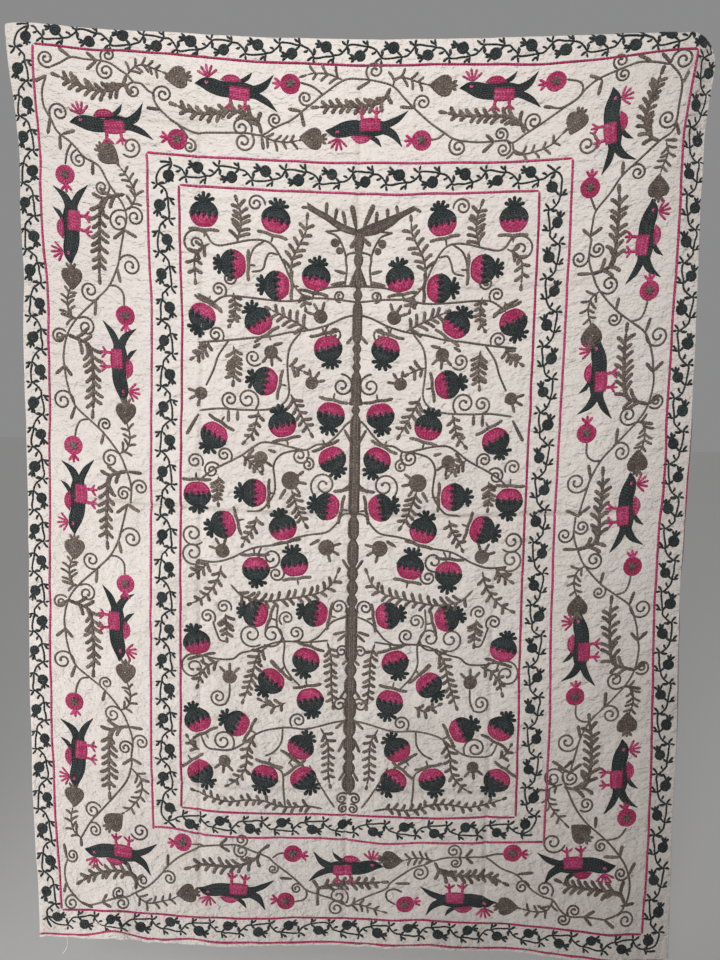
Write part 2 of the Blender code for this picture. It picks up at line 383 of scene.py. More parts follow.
def woolMaterial(name, tones):
    material, nodes, links, shader = newMaterial(name)
    place = nodes.new("ShaderNodeTexCoord").outputs["Object"]
    tone = nodes.new("ShaderNodeAttribute")
    tone.attribute_name = "tone"
    stitch = nodes.new("ShaderNodeUVMap")
    stitch.uv_map = "stitch"
    split = nodes.new("ShaderNodeSeparateXYZ")
    links.new(stitch.outputs["UV"], split.inputs[0])
    beside = mathNode(nodes, links, "ABSOLUTE", split.outputs["Y"])
    turns = mathNode(nodes, links, "DIVIDE", split.outputs["X"], wool["link"])
    slanted = mathNode(nodes, links, "ADD", turns, mathNode(nodes, links, "MULTIPLY", beside, wool["slant"]))
    wave = mathNode(nodes, links, "SINE", mathNode(nodes, links, "MULTIPLY", slanted, 2 * math.pi))
    fleck = noiseNode(nodes, links, place, wool["fleck"], 2.0, 0.7)
    patch = noiseNode(nodes, links, place, wool["patch"], 3.0, 0.6)
    # The chevron wave adds painted shade: darker colour in the dips between chain links, lighter on their crests.
    shade = mathNode(nodes, links, "ADD", tone.outputs["Fac"], mathNode(nodes, links, "MULTIPLY", wave, 0.14))
    grain = noiseNode(nodes, links, place, wool["grain"], 2.0, 0.65)
    for part, most in ((fleck, 0.60), (grain, 1.60), (patch, 0.50)):
        centred = mathNode(nodes, links, "SUBTRACT", part, 0.5)
        shade = mathNode(nodes, links, "ADD", shade, mathNode(nodes, links, "MULTIPLY", centred, most))
    colour = rampNode(nodes, links, shade, list(zip((0.12, 0.5, 0.95), tones)))
    links.new(colour, shader.inputs["Base Color"])
    shader.inputs["Roughness"].default_value = wool["roughness"]
    shader.inputs["Sheen Weight"].default_value = wool["sheen"]
    shader.inputs["Specular IOR Level"].default_value = 0.25
    fine = bumpNode(nodes, links, grain, 0.8, 0.0012)
    links.new(bumpNode(nodes, links, wave, 0.55, 0.0006, fine), shader.inputs["Normal"])
    return material


# Cotton: a plain weave on the flat cloth's own map, with slubs, a little uneven age, and painted shade along the
# creases.
weave = {"thread": 0.00085, "roughness": 0.93, "sheen": 0.12, "crumple": 0.0060,
         "wrinkles": ((18.0, 20, 1.9, 0.0100), (36.0, -38, 1.6, 0.0056), (80.0, 12, 1.4, 0.0030), (150.0, 0, 1.0, 0.0020))}


def cottonMaterial():
    material, nodes, links, shader = newMaterial("cotton_weave")
    flat = nodes.new("ShaderNodeUVMap")
    flat.uv_map = "flat"
    split = nodes.new("ShaderNodeSeparateXYZ")
    links.new(flat.outputs["UV"], split.inputs[0])
    waves = []
    for axis in ("X", "Y"):
        turns = mathNode(nodes, links, "MULTIPLY", split.outputs[axis], 2 * math.pi / weave["thread"])
        waves.append(mathNode(nodes, links, "SINE", turns))
    woven = mathNode(nodes, links, "MULTIPLY", waves[0], waves[1])
    slubs = []
    for stretch in ((26.0, 900.0, 1.0), (900.0, 26.0, 1.0)):
        mapping = nodes.new("ShaderNodeMapping")
        mapping.inputs["Scale"].default_value = stretch
        links.new(flat.outputs["UV"], mapping.inputs["Vector"])
        slubs.append(noiseNode(nodes, links, mapping.outputs[0], 1.0, 2.0, 0.6))
    slub = mathNode(nodes, links, "ADD", slubs[0], slubs[1])
    age = noiseNode(nodes, links, flat.outputs["UV"], 3.2, 4.0, 0.6)
    crumple = noiseNode(nodes, links, flat.outputs["UV"], 52.0, 3.0, 0.55)
    shade = mathNode(nodes, links, "ADD", mathNode(nodes, links, "MULTIPLY", slub, 0.30), age)
    colour = rampNode(
        nodes, links, shade,
        [(0.45, colours["cottonShade"]), (0.80, colours["cotton"]), (1.10, colours["cotton"])],
    )
    # Painted shade along the creases: the cotton's colour is multiplied darker by the crease attribute, darkest in the
    # deepest creases.
    paintedShade = nodes.new("ShaderNodeAttribute")
    paintedShade.attribute_name = "crease"
    darker = nodes.new("ShaderNodeMix")
    darker.data_type = "RGBA"
    darker.blend_type = "MULTIPLY"
    darker.inputs["B"].default_value = (0.52, 0.48, 0.45, 1)
    links.new(mathNode(nodes, links, "MULTIPLY", paintedShade.outputs["Fac"], creaseLook["dark"] * 2), darker.inputs["Factor"])
    links.new(colour, darker.inputs["A"])
    links.new(darker.outputs["Result"], shader.inputs["Base Color"])
    shader.inputs["Roughness"].default_value = weave["roughness"]
    shader.inputs["Sheen Weight"].default_value = weave["sheen"]
    shader.inputs["Specular IOR Level"].default_value = 0.2
    soft = bumpNode(nodes, links, crumple, 1.0, weave["crumple"])
    for scale, turn, stretch, height in weave["wrinkles"]:
        mapping = nodes.new("ShaderNodeMapping")
        mapping.inputs["Rotation"].default_value = (0, 0, math.radians(turn))
        mapping.inputs["Scale"].default_value = (1, stretch, 1)
        links.new(flat.outputs["UV"], mapping.inputs["Vector"])
        soft = bumpNode(nodes, links, noiseNode(nodes, links, mapping.outputs[0], scale, 3.0, 0.6), 1.0, height, soft)
    rough = bumpNode(nodes, links, slub, 0.30, 0.0008, soft)
    links.new(bumpNode(nodes, links, woven, 0.25, 0.0003, rough), shader.inputs["Normal"])
    return material


def plainMaterial(name, colour, roughness):
    material, nodes, links, shader = newMaterial(name)
    shader.inputs["Base Color"].default_value = (*colour, 1)
    shader.inputs["Roughness"].default_value = roughness
    return material


yarns = {name: woolMaterial(name + "_wool", colours[name]) for name in ("charcoal", "pink", "taupe")}
cotton = cottonMaterial()
thread = plainMaterial("sewing_cotton", colours["thread"], 0.85)
yarns["sewing"] = thread
print("materials made")

# Floor, well below the hem.
bpy.ops.mesh.primitive_plane_add(size=60, location=(0, 0, -2.35))
floor = bpy.context.object
floor.name = "floor"
floor.data.materials.append(plainMaterial("floor_paint", colours["floor"], 0.8))


# Stations over a stretch, closer together near the creases.
def stations(start, end, count, way):
    fine = np.linspace(start, end, 4001)
    density = np.ones_like(fine)
    for which, place, _, _, _ in creases:
        if which == way:
            density += 1.6 * bell(fine - place, 0.016)
    total = np.concatenate([[0], np.cumsum((density[1:] + density[:-1]) / 2)])
    return np.interp(np.linspace(0, total[-1], count + 1), total, fine)


def bendStations(start, edge, radius):
    arc = np.maximum(np.minimum(math.pi * radius, (edge - start) * 0.9), 0.0005)
    return [start + arc * k / cloth["bendCells"] for k in range(cloth["bendCells"] + 1)] + [edge]


# Ground: a grid laid flat with stations at the folds, then hung, then given its thickness.
def makeGround():
    across = stations(-frameReach - 0.047, frameReach + 0.047, cloth["columns"], "across")
    share = (across - across[0]) / (across[-1] - across[0])
    faceColumns = share
    down = stations(0.026, clothHeight - 0.003, cloth["rows"], "down")
    shareDown = (down - down[0]) / (down[-1] - down[0])
    hemBend = math.pi * cloth["hemFold"]
    hemRows = [clothHeight - cloth["hemFold"] + hemBend * k / 5 for k in range(6)]
    hemRows.append(hemRows[-1] + 0.005)
    hemRows.append(clothHeight + hemBend + cloth["hem"] - 0.002)
    columnCount = len(share) + 2 * (cloth["bendCells"] + 1)
    rowCount = cloth["bendCells"] + 1 + len(shareDown) + len(hemRows)
    bpy.ops.object.select_all(action="DESELECT")
    bpy.ops.mesh.primitive_grid_add(x_subdivisions=columnCount - 1, y_subdivisions=rowCount - 1, size=2)
    ground = bpy.context.object
    ground.name = "cotton_ground"
    flat = np.empty(len(ground.data.vertices) * 3)
    ground.data.vertices.foreach_get("co", flat)
    flat = flat.reshape(-1, 3)
    column = np.rint((flat[:, 0] + 1) / 2 * (columnCount - 1)).astype(int)
    row = np.rint((1 - flat[:, 1]) / 2 * (rowCount - 1)).astype(int)
    rough = flat[:, 0] * frameReach
    crest = topFoldStart(rough)
    turned = [-d for d in bendStations(-crest, 0.0 * crest, cloth["topFold"])][::-1]
    face = [crest + (clothHeight - 0.003 - crest) * s for s in shareDown[1:]]
    places = np.stack(turned + face + [np.full_like(crest, h) for h in hemRows])
    downs = places[row, np.arange(len(row))]
    low = np.minimum(downs, clothHeight)
    left, right = sideFoldStart(low, -np.ones_like(low)), sideFoldStart(low, np.ones_like(low))
    leftBend = [-d for d in bendStations(left, 0 * left + clothReach, cloth["sideFold"])][::-1]
    rightBend = bendStations(right, 0 * right + clothReach, cloth["sideFold"])
    middle = [-left + (left + right) * s for s in faceColumns[1:-1]]
    acrosses = np.stack(leftBend + middle + rightBend)[column, np.arange(len(column))]
    hung = hangCloth(acrosses, downs, np.zeros_like(downs))
    ground.data.vertices.foreach_set("co", hung.ravel())
    # Painted shade along the creases: a mask, strongest in each crease's trough and in the deepest creases, that
    # darkens the cotton's colour.
    paintedShade = np.zeros_like(downs)
    for way, place, start, end, depth in creases:
        beside, along = (downs - place, acrosses) if way == "down" else (acrosses - place, downs)
        inside = smoothStep((along - start) / creaseLook["fade"]) * smoothStep((end - along) / creaseLook["fade"])
        paintedShade = np.maximum(paintedShade, inside * bell(beside, creaseLook["paintedShade"]) * depth / creases[0][4])
    ground.data.attributes.new("crease", "FLOAT", "POINT").data.foreach_set("value", paintedShade)
    flatMap = ground.data.uv_layers.new(name="flat")
    loopVertex = np.empty(len(ground.data.loops), int)
    ground.data.loops.foreach_get("vertex_index", loopVertex)
    flatMap.data.foreach_set("uv", np.stack([acrosses, -downs], axis=1)[loopVertex].ravel())
    hem = ground.vertex_groups.new(name="thickness")
    thin = cloth["thickness"] / cloth["hemThickness"]
    thick = (clothReach - np.abs(acrosses) < cloth["hem"]) | (downs < cloth["hem"])
    hem.add([int(i) for i in np.flatnonzero(~thick)], thin, "REPLACE")
    hem.add([int(i) for i in np.flatnonzero(thick)], 1.0, "REPLACE")
    wall = ground.modifiers.new("thickness", "SOLIDIFY")
    wall.thickness = cloth["hemThickness"]
    wall.offset = 0.0
    wall.vertex_group = hem.name
    bpy.ops.object.modifier_apply(modifier=wall.name)
    ground.data.materials.clear()
    ground.data.materials.append(cotton)
    ground.data.shade_smooth()
    return ground


ground = makeGround()
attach(ground, "root")
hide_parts("cloth")
print("ground hung:", len(ground.data.polygons), "faces")

# Rows of stitches. Each is a path on the flat cloth in metres, with its width, height and tone.
stitch = {
    "step": 0.0034, "row": 0.0036, "height": 0.0013, "sink": 0.00015,
    "bead": 0.13,
}
ridge = ((-1.0, 0.0), (0.0, 1.0), (1.0, 0.0))
grooved = ((-1.0, 0.0), (-0.52, 0.95), (0.0, 0.62), (0.52, 0.95), (1.0, 0.0))
shake = np.random.default_rng(11)
pieces = {}


# A smooth curve through a few places, with points a step apart.
def smoothPath(points, step=None):
    step = step or stitch["step"]
    points = np.asarray(points, float)
    if len(points) == 2:
        dense = np.linspace(points[0], points[1], 24)
    else:
        before = 2 * points[0] - points[1]
        after = 2 * points[-1] - points[-2]
        knots = np.vstack([before, points, after])
        t = np.linspace(0, 1, 12, endpoint=False)[:, None]
        spans = []
        for a, b, c, d in zip(knots[:-3], knots[1:-2], knots[2:-1], knots[3:]):
            spans.append(
                0.5 * (2 * b + (c - a) * t + (2 * a - 5 * b + 4 * c - d) * t**2 + (3 * b - a - 3 * c + d) * t**3)
            )
        dense = np.vstack(spans + [points[-1:]])
    lengths = np.concatenate([[0], np.cumsum(np.linalg.norm(np.diff(dense, axis=0), axis=1))])
    count = max(2, int(round(lengths[-1] / step)))
    where = np.linspace(0, lengths[-1], count + 1)
    return np.stack([np.interp(where, lengths, dense[:, k]) for k in (0, 1)], axis=1)


def addRow(piece, path, width, tone=0.5, height=None, lift=0.0, profile=ridge, taper=1.0, even=False):
    count = len(path)
    widths = np.broadcast_to(np.asarray(width, float), (count,)).copy()
    heights = np.full(count, height or stitch["height"])
    if not even:
        start = shake.integers(2)
        bead = np.where((np.arange(count) + start) % 2 == 0, 0.7, -0.7) + shake.uniform(-0.6, 0.6, count)
        bead *= stitch["bead"]
        widths *= 1 + bead
        heights *= 1 + bead
    ends = np.minimum(np.arange(count), np.arange(count)[::-1])
    rise = np.interp(ends, [0, 1, 2], [0.0, 0.78, 1.0] if taper else [0.9, 1.0, 1.0])
    widths *= np.interp(ends, [0, 1, 2], [0.0, 0.85, 1.0])
    pieces.setdefault(piece, []).append(
        (path, widths, heights * rise + lift, tone + shake.uniform(-0.12, 0.12), profile, lift)
    )


def placeMotif(points, at, heading=0.0, size=1.0, mirror=False):
    points = np.asarray(points, float) * size
    if mirror:
        points = points * (-1, 1)
    turn = math.radians(heading)
    x, y = points[:, 0], points[:, 1]
    across = at[0] + x * math.cos(turn) + y * math.sin(turn)
    down = at[1] + x * math.sin(turn) - y * math.cos(turn)
    return np.stack([across, down], axis=1)


def buildPiece(name, colour, profile, suffix=""):
    rows = [row for row in pieces[name] if row[4] is profile]
    if not rows:
        return None
    across, down, lift, tones, uvAlong, uvBeside = [], [], [], [], [], []
    quads, triangles = [], []
    sides = np.array([p[0] for p in profile])
    rises = np.array([p[1] for p in profile])
    corners = len(profile)
    base = 0
    for path, widths, heights, tone, _, under in rows:
        begin = shake.uniform(0, wool["link"])
        tangent = np.gradient(path, axis=0)
        tangent /= np.maximum(np.linalg.norm(tangent, axis=1, keepdims=True), 1e-9)
        right = np.stack([-tangent[:, 1], tangent[:, 0]], axis=1)
        inner = slice(1, -1)
        spots = path[inner, None, :] + right[inner, None, :] * (sides[None, :, None] * widths[inner, None, None] / 2)
        lifts = np.where(rises > 0, under + (heights[inner, None] - under) * rises, under - stitch["sink"])
        along = begin + np.concatenate([[0], np.cumsum(np.linalg.norm(np.diff(path, axis=0), axis=1))])
        stationCount = len(path) - 2
        across.append(np.concatenate([path[:1, 0], spots[:, :, 0].ravel(), path[-1:, 0]]))
        down.append(np.concatenate([path[:1, 1], spots[:, :, 1].ravel(), path[-1:, 1]]))
        lift.append(np.concatenate([[under - stitch["sink"]], lifts.ravel(), [under - stitch["sink"]]]))
        uvAlong.append(np.concatenate([along[:1], np.repeat(along[1:-1], corners), along[-1:]]))
        uvBeside.append(np.concatenate([[0], np.tile(sides, stationCount), [0]]))
        total = stationCount * corners + 2
        tones.append(np.full(total, tone))
        grid = base + 1 + np.arange(stationCount * corners).reshape(stationCount, corners)
        after = np.roll(grid, -1, axis=1)
        quads.append(np.stack([grid[:-1], after[:-1], after[1:], grid[1:]], axis=-1).reshape(-1, 4))
        last = base + total - 1
        triangles.append(np.stack([np.full(corners, base), after[0], grid[0]], axis=-1))
        triangles.append(np.stack([np.full(corners, last), grid[-1], after[-1]], axis=-1))
        base += total
    across, down, lift = np.concatenate(across), np.concatenate(down), np.concatenate(lift)
    points = hangCloth(across, down, lift + cloth["thickness"] / 2)
    quads, triangles = np.concatenate(quads), np.concatenate(triangles)
    return newMesh(
        name + suffix, points, quads, triangles, colour,
        np.concatenate(tones), np.stack([np.concatenate(uvAlong), np.concatenate(uvBeside)], axis=1),
    )


def newMesh(name, points, quads, triangles, colour, tones, stitchMap):
    mesh = bpy.data.meshes.new(name)
    mesh.vertices.add(len(points))
    mesh.vertices.foreach_set("co", points.ravel())
    loops = np.concatenate([quads.ravel(), triangles.ravel()])
    mesh.loops.add(len(loops))
    mesh.loops.foreach_set("vertex_index", loops.astype(np.int32))
    starts = np.concatenate(
        [np.arange(len(quads)) * 4, len(quads) * 4 + np.arange(len(triangles)) * 3]
    )
    mesh.polygons.add(len(starts))
    mesh.polygons.foreach_set("loop_start", starts.astype(np.int32))
    mesh.update(calc_edges=True)
    mesh.validate()
    mesh.shade_smooth()
    mesh.attributes.new("tone", "FLOAT", "POINT").data.foreach_set("value", tones)
    stitchUv = mesh.uv_layers.new(name="stitch")
    stitchUv.data.foreach_set("uv", stitchMap[loops].ravel())
    mesh.materials.append(yarns[colour])
    worked = bpy.data.objects.new(name, mesh)
    bpy.context.scene.collection.objects.link(worked)
    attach(worked, "root")
    print(name, len(mesh.polygons), "faces")
    return worked


# Centimetres on the chart to metres on the flat cloth: across from the middle, down from the field's top.
def chart(points):
    points = np.atleast_2d(np.asarray(points, float)) / 100
    return points + (0, fieldTop)


mm = 0.001


# Frame lines: one thick pink row each.
frameLines = {
    "width": 0.0062, "tone": 0.46, "waver": 0.0011,
    "reach": (frameReach + cloth["outerBand"], frameReach, frameReach - cloth["borderSide"],
              cloth["fieldWidth"] / 2),
    "top": (0.0088, frameTop, frameTop + cloth["borderEnd"], fieldTop),
}
# Where a line strays: (ring, side, place along it, half width of the stray, push outwards).
strays = (
    (0, 2, -0.558, 0.050, -0.012), (0, 2, -0.350, 0.050, -0.006),
    (0, 1, 1.950, 0.300, 0.012), (0, 3, 0.060, 0.150, 0.008), (1, 0, -0.450, 0.120, 0.005),
    (1, 0, 0.420, 0.120, -0.005), (1, 1, 0.960, 0.110, 0.006), (2, 2, -0.420, 0.060, -0.008),
    (2, 2, 0.090, 0.060, 0.007), (2, 1, 1.500, 0.120, 0.004), (3, 0, 0.060, 0.050, -0.003),
)
for ring, (reach, top) in enumerate(zip(frameLines["reach"], frameLines["top"])):
    bottom = clothHeight - top
    corners = ((-reach, top), (reach, top), (reach, bottom), (-reach, bottom), (-reach, top))
    for side, (start, end) in enumerate(zip(corners[:-1], corners[1:])):
        line = smoothPath((start, end))
        place = line[:, side % 2]
        push = unevenness(line[:, 0], line[:, 1], 0.055, 20 + ring) * frameLines["waver"]
        for which, way, at, halfWidth, out in strays:
            if (which, way) == (ring, side):
                push = push + out * bell(place - at, halfWidth)
        outwards = ((0, -1), (1, 0), (0, 1), (-1, 0))[side]
        addRow("frame_lines", line + push[:, None] * outwards, frameLines["width"], frameLines["tone"], height=0.0014)

# Pomegranate of the field: nested rows, dark above and pink below, a crown of fingers and a base bar.
pomegranate = {
    "half": ((0, 28), (9, 27), (19, 22.5), (27, 14.5), (31, 5.5), (31, -4), (28, -13), (22, -21),
             (14, -26.5), (0, -28)),
    "join": 0.5, "tooth": 0.8, "row": 3.7, "centre": -2.0,
    "fingers": (-68, -34, 0, 34, 68), "neck": 25.5, "reach": 25.0, "fingerWidth": 8.6,
    "filler": ((-11, -7), (0, -8), (11, -7)), "collar": ((-12, 22), (0, 26), (12, 22)),
    "scallops": ((-25.5, 9.5), (-13.2, 11.5), (-0.5, 12.5), (12.4, 11.5), (25, 9.5)), "scallopWidth": 13.6,
    "bar": ((-35, -34), (-16, -32.5), (0, -34.5), (16, -33), (35, -35)), "barWidth": 8.0,
    "stem": ((0, -33), (1, -42), (0, -51)),
}


# An arc carried on straight past both its ends.
def longerArc(arc, more):
    first, last = arc[0] - arc[1], arc[-1] - arc[-2]
    first, last = first / np.linalg.norm(first), last / np.linalg.norm(last)
    return np.vstack([arc[0] + first * more, arc[::3] if len(arc) > 8 else arc, arc[-1], arc[-1] + last * more])


def workPomegranate(at, heading, size=1.0):
    half = np.array(pomegranate["half"], float)
    centre = np.array((0, pomegranate["centre"]))
    sideways = smoothPath(half, 1.0)
    whole = np.vstack([sideways, sideways[::-1][1:-1] * (-1, 1)])
    reach = pomegranate["half"][4][0]
    for k in range(8):
        share = 1 - (k + 0.5) * pomegranate["row"] / reach
        if share < 0.06:
            continue
        ring = centre + (whole - centre) * share
        join = pomegranate["join"] + (pomegranate["tooth"] if k % 2 else -pomegranate["tooth"])
        order = np.argsort(np.arctan2(ring[:, 0], ring[:, 1] - join))
        upper = ring[order][(ring[order][:, 1] > join)]
        angle = np.arctan2(ring[:, 0], -(ring[:, 1] - join))
        order = np.argsort(angle)
        lower = ring[order][(ring[order][:, 1] < join)]
        tone = 0.42 if k else 0.30
        for piece, arc in (("field_fruit_charcoal", upper), ("field_fruit_pink", lower)):
            if len(arc) < 4:
                continue
            arc = longerArc(arc, 0.6 if piece.endswith("charcoal") else 3.0)
            path = smoothPath(placeMotif(arc, at, heading, mm * size))
            if len(path) > 3:
                addRow(piece, path, stitch["row"] * 1.34 * size, tone + 0.02 * k, height=0.0013 + 0.00008 * k)
    for finger in pomegranate["fingers"]:
        turn = math.radians(finger + shake.uniform(-5, 5))
        way = np.array((math.sin(turn), 0.86 * math.cos(turn)))
        ends = [(0, pomegranate["neck"]) + way * reach for reach in (-3.0, pomegranate["reach"] * shake.uniform(0.9, 1.08))]
        path = smoothPath(placeMotif(ends, at, heading, mm * size), 0.0027)
        wide = np.interp(np.linspace(0, 1, len(path)), (0, 0.5, 0.85, 1), (0.8, 0.9, 1.12, 1.0))
        addRow("field_fruit_charcoal", path, wide * pomegranate["fingerWidth"] * mm * size, 0.4, height=0.0016,
               profile=grooved)
    collar = smoothPath(placeMotif(pomegranate["collar"], at, heading, mm * size))
    addRow("field_fruit_charcoal", collar, 0.0085 * size, 0.4, height=0.0017)
    filler = smoothPath(placeMotif(pomegranate["filler"], at, heading, mm * size))
    addRow("field_fruit_pink", filler, 0.0095 * size, 0.5, height=0.0015)
    for across, drop in pomegranate["scallops"]:
        ends = ((across * 0.96, 9), (across, 1), (across, 1 - drop * shake.uniform(0.75, 1.1)))
        path = smoothPath(placeMotif(ends, at, heading, mm * size), 0.0034)
        wide = np.interp(np.linspace(0, 1, len(path)), (0, 0.5, 1), (1.0, 1.0, 0.55))
        addRow("field_fruit_charcoal", path, wide * pomegranate["scallopWidth"] * mm * size, 0.42, height=0.0013,
               lift=0.0008)
    bar = smoothPath(placeMotif(pomegranate["bar"], at, heading, mm * size))
    addRow("field_stems", bar, pomegranate["barWidth"] * mm * size, 0.5, height=0.0015, profile=grooved)
    addRow("field_stems", smoothPath(placeMotif(pomegranate["stem"], at, heading, mm * size)), 0.0054, 0.45)


fieldFruit = (
    (-33.4, 5.6, 0), (-17.9, 6.0, 12), (-27.2, 15.9, 270), (-9.1, 17.7, 10), (-17.8, 19.8, 270),
    (-34.2, 27.4, 204), (-21.7, 27.5, 326), (-6.3, 32.9, 165), (-20.2, 40.4, 280), (-5.5, 47.3, 190),
    (-16.2, 49.6, 345), (-31.4, 52.9, 209), (-5.0, 57.1, 154), (-35.0, 66.2, 177), (-22.4, 65.1, 270),
    (-6.1, 67.6, 280), (-29.2, 72.6, 253), (-15.8, 72.6, 345), (-21.8, 82.4, 176), (-13.1, 80.8, 350),
    (-21.8, 92.6, 286), (-8.3, 92.0, 280), (-35, 100, 342), (-10.2, 103, 197), (-18.1, 108.2, 221),
    (-9.1, 112.3, 168), (-34.8, 118.4, 330), (-25.9, 118.6, 296), (-11.1, 123.5, 35), (-34.2, 131, 144),
    (-19.3, 130.9, 196), (-10.4, 131.2, 141),
)
for across, down, heading in fieldFruit:
    for side in (1, -1):
        workPomegranate(chart((side * across, down))[0], side * heading)

# Bird of the border, millimetres from its middle: ahead is up, the wing is on the right.
bird = {
    "size": 1.04,
    "dark": (
        (((-27, 2), (-26.4, 24), (-21.6, 44), (-12.4, 63), (-6, 78)), ((5, 2), (5.4, 24), (8.4, 41), (7.2, 60), (-6, 78)), 9),
        (((-4.5, -42), (-4, -20), (-3.5, 8)), ((4, -42), (8, -17), (5, 8)), 3),
        (((-25, -31), (-22.5, -44), (-31, -67), (-43, -93)), ((-6, -31), (-8, -48), (-20, -73), (-43, -93)), 5),
        (((-14, -31), (-12, -49), (2, -68), (32, -80)), ((5, -31), (4.5, -43), (14, -61), (32, -80)), 5),
        (((2, -6), (8, -22), (15, -31), (31, -37)), ((8, -3), (15, -17), (22, -26), (31, -37)), 3),
    ),
    "belly": (((-27, -38), (-30, -14), (-28, 9)), ((-3, -38), (-2, -14), (-1.5, 9)), 8),
    "wing": (((7, -20), (4.5, 3), (7, 27)), ((7, -20), (19.5, -5), (19, 14), (7, 27)), 4),
    "crest": ((9, 51), ((28, 33), (35.5, 44.5), (36.5, 57), (31, 68), (20.5, 75))),
    "feet": (
        ((-24, 1), (-38, 3), ((-52, 15), (-56, 2), (-51, -11))),
        ((-23, -26), (-37, -27), ((-50, -14), (-54, -28), (-47, -40))),
    ),
    "eye": (-1.5, 53),
}


def workStrip(piece, leftSide, rightSide, rows, tones, at, heading, mirror, lift=0.0):
    left, right = smoothPath(leftSide, 1.0), smoothPath(rightSide, 1.0)
    steps = np.linspace(0, 1, 14)
    left = np.stack([np.interp(steps, np.linspace(0, 1, len(left)), left[:, k]) for k in (0, 1)], axis=1)
    right = np.stack([np.interp(steps, np.linspace(0, 1, len(right)), right[:, k]) for k in (0, 1)], axis=1)
    size = bird["size"] * mm
    span = np.linalg.norm(right - left, axis=1) / rows * size
    for k in range(rows):
        share = (k + 0.5) / rows
        middle = left + (right - left) * share
        path = smoothPath(placeMotif(middle, at, heading, size, mirror))
        width = np.interp(np.linspace(0, 1, len(path)), steps, span)
        edge = k in (0, rows - 1)
        addRow(piece, path, np.maximum(width * 1.34, 0.0014), tones[0] if edge else tones[1], lift=lift)


def workBird(at, heading, mirror):
    for leftSide, rightSide, rows in bird["dark"]:
        workStrip("birds", leftSide, rightSide, rows, (0.38, 0.45), at, heading, mirror)
    workStrip("bird_pinks", *bird["belly"], (0.38, 0.56), at, heading, mirror)
    workStrip("bird_pinks", *bird["wing"], (0.42, 0.55), at, heading, mirror)
    size = bird["size"] * mm
    base, tips = bird["crest"]
    for tip in tips:
        path = smoothPath(placeMotif((base, tip), at, heading, size, mirror))
        width = np.linspace(0.0046, 0.0072, len(path))
        addRow("bird_pinks", path, width, 0.5, height=0.0014)
    for base, middle, toes in bird["feet"]:
        for toe in toes:
            path = smoothPath(placeMotif((base, middle, toe), at, heading, size, mirror))
            addRow("bird_pinks", path, np.linspace(0.0060, 0.0068, len(path)), 0.5)
    eye = np.array(bird["eye"])
    ring = [eye + (2.1 * math.cos(a), 2.1 * math.sin(a)) for a in np.linspace(0, 5.8, 9)]
    path = smoothPath(placeMotif(ring, at, heading, size, mirror), 0.0012)
    addRow("bird_pinks", path, 0.0046, 0.75, height=0.0010, lift=0.0011, even=True)


# Leaf, twig, spiral, small fruit and stem, in taupe. Places are centimetres on the chart.
leaf = {"width": 0.0086, "height": 0.0017, "stem": 0.0054, "curve": 0.08, "root": 0.0030}
# Ways of leafing: (leaf width, its length against the chart's, spread in degrees, stem width).
leafing = {
    "field": (0.0088, 1.32, 56.0, 0.0060), "border": (0.0066, 1.12, 56.0, 0.0054),
    "fern": (0.0096, 1.14, 47.0, 0.0096),
}


def workLeaf(piece, base, tip, width=None, bend=0.0):
    base, tip = np.asarray(base, float), np.asarray(tip, float)
    beside = np.array((tip[1] - base[1], base[0] - tip[0])) * bend
    along = (tip - base) / max(np.linalg.norm(tip - base), 1e-6)
    base = base - along * leaf["root"]
    path = smoothPath((base, (base + tip) / 2 + beside, tip), 0.0030)
    if len(path) < 4:
        return
    share = np.linspace(0, 1, len(path))
    wide = (width or leaf["width"]) * np.interp(share, (0, 0.3, 0.7, 1), (0.55, 0.86, 1.0, 0.9))
    addRow(piece, path, wide, 0.5, height=leaf["height"], profile=grooved)


def workStem(piece, points, width=None, tone=0.45):
    points = chart(points)
    first, last = points[0] - points[1], points[-1] - points[-2]
    points[0] += first / np.linalg.norm(first) * leaf["root"]
    points[-1] += last / np.linalg.norm(last) * leaf["root"]
    addRow(piece, smoothPath(points), width or leaf["stem"], tone)


# A stem with leaves in pairs along it, and one leaf at its tip. Length is a leaf's, in centimetres.
def workSprig(piece, points, pairs, length=2.1, way="field"):
    width, longer, spread, stem = leafing[way]
    path = smoothPath(chart(points))
    tangent = np.gradient(path, axis=0)
    tangent /= np.linalg.norm(tangent, axis=1, keepdims=True)
    path[0] -= tangent[0] * leaf["root"]
    addRow(piece, path, np.linspace(stem, stem * 0.8, len(path)), 0.45)
    for k in range(pairs):
        share = 0.08 + 0.86 * (k + 0.2) / pairs
        for side in (1, -1):
            i = int(min(len(path) - 1, (share + (0.03 if side > 0 else 0)) * (len(path) - 1)))
            turn = math.radians(spread + shake.uniform(-9, 9)) * side
            ahead = tangent[i]
            heading = np.array((
                ahead[0] * math.cos(turn) - ahead[1] * math.sin(turn),
                ahead[0] * math.sin(turn) + ahead[1] * math.cos(turn),
            ))
            size = length / 100 * longer * (1.05 - 0.28 * share) * shake.uniform(0.86, 1.1)
            workLeaf(piece, path[i], path[i] + heading * size, width, leaf["curve"] * side)
    workLeaf(piece, path[-1], path[-1] + tangent[-1] * length / 100 * 0.8, width)


# A spiral from where it leaves its branch in to its centre; hand 1 turns clockwise.
def workSpiral(piece, start, centre, hand, turns=1.7):
    start, centre = chart(start)[0], chart(centre)[0]
    arm = start - centre
    reach, angle = np.hypot(*arm), math.atan2(arm[1], arm[0])
    t = np.linspace(0, 1, 34)
    radius = reach * (1 - 0.86 * t**0.8)
    turn = angle + hand * 2 * math.pi * turns * t
    points = centre + np.stack([radius * np.cos(turn), radius * np.sin(turn)], axis=1)
    path = smoothPath(points[::1], 0.0030)
    width = np.full(len(path), leaf["stem"])
    width[-3:] *= 1.5
    addRow(piece, path, width, 0.45)


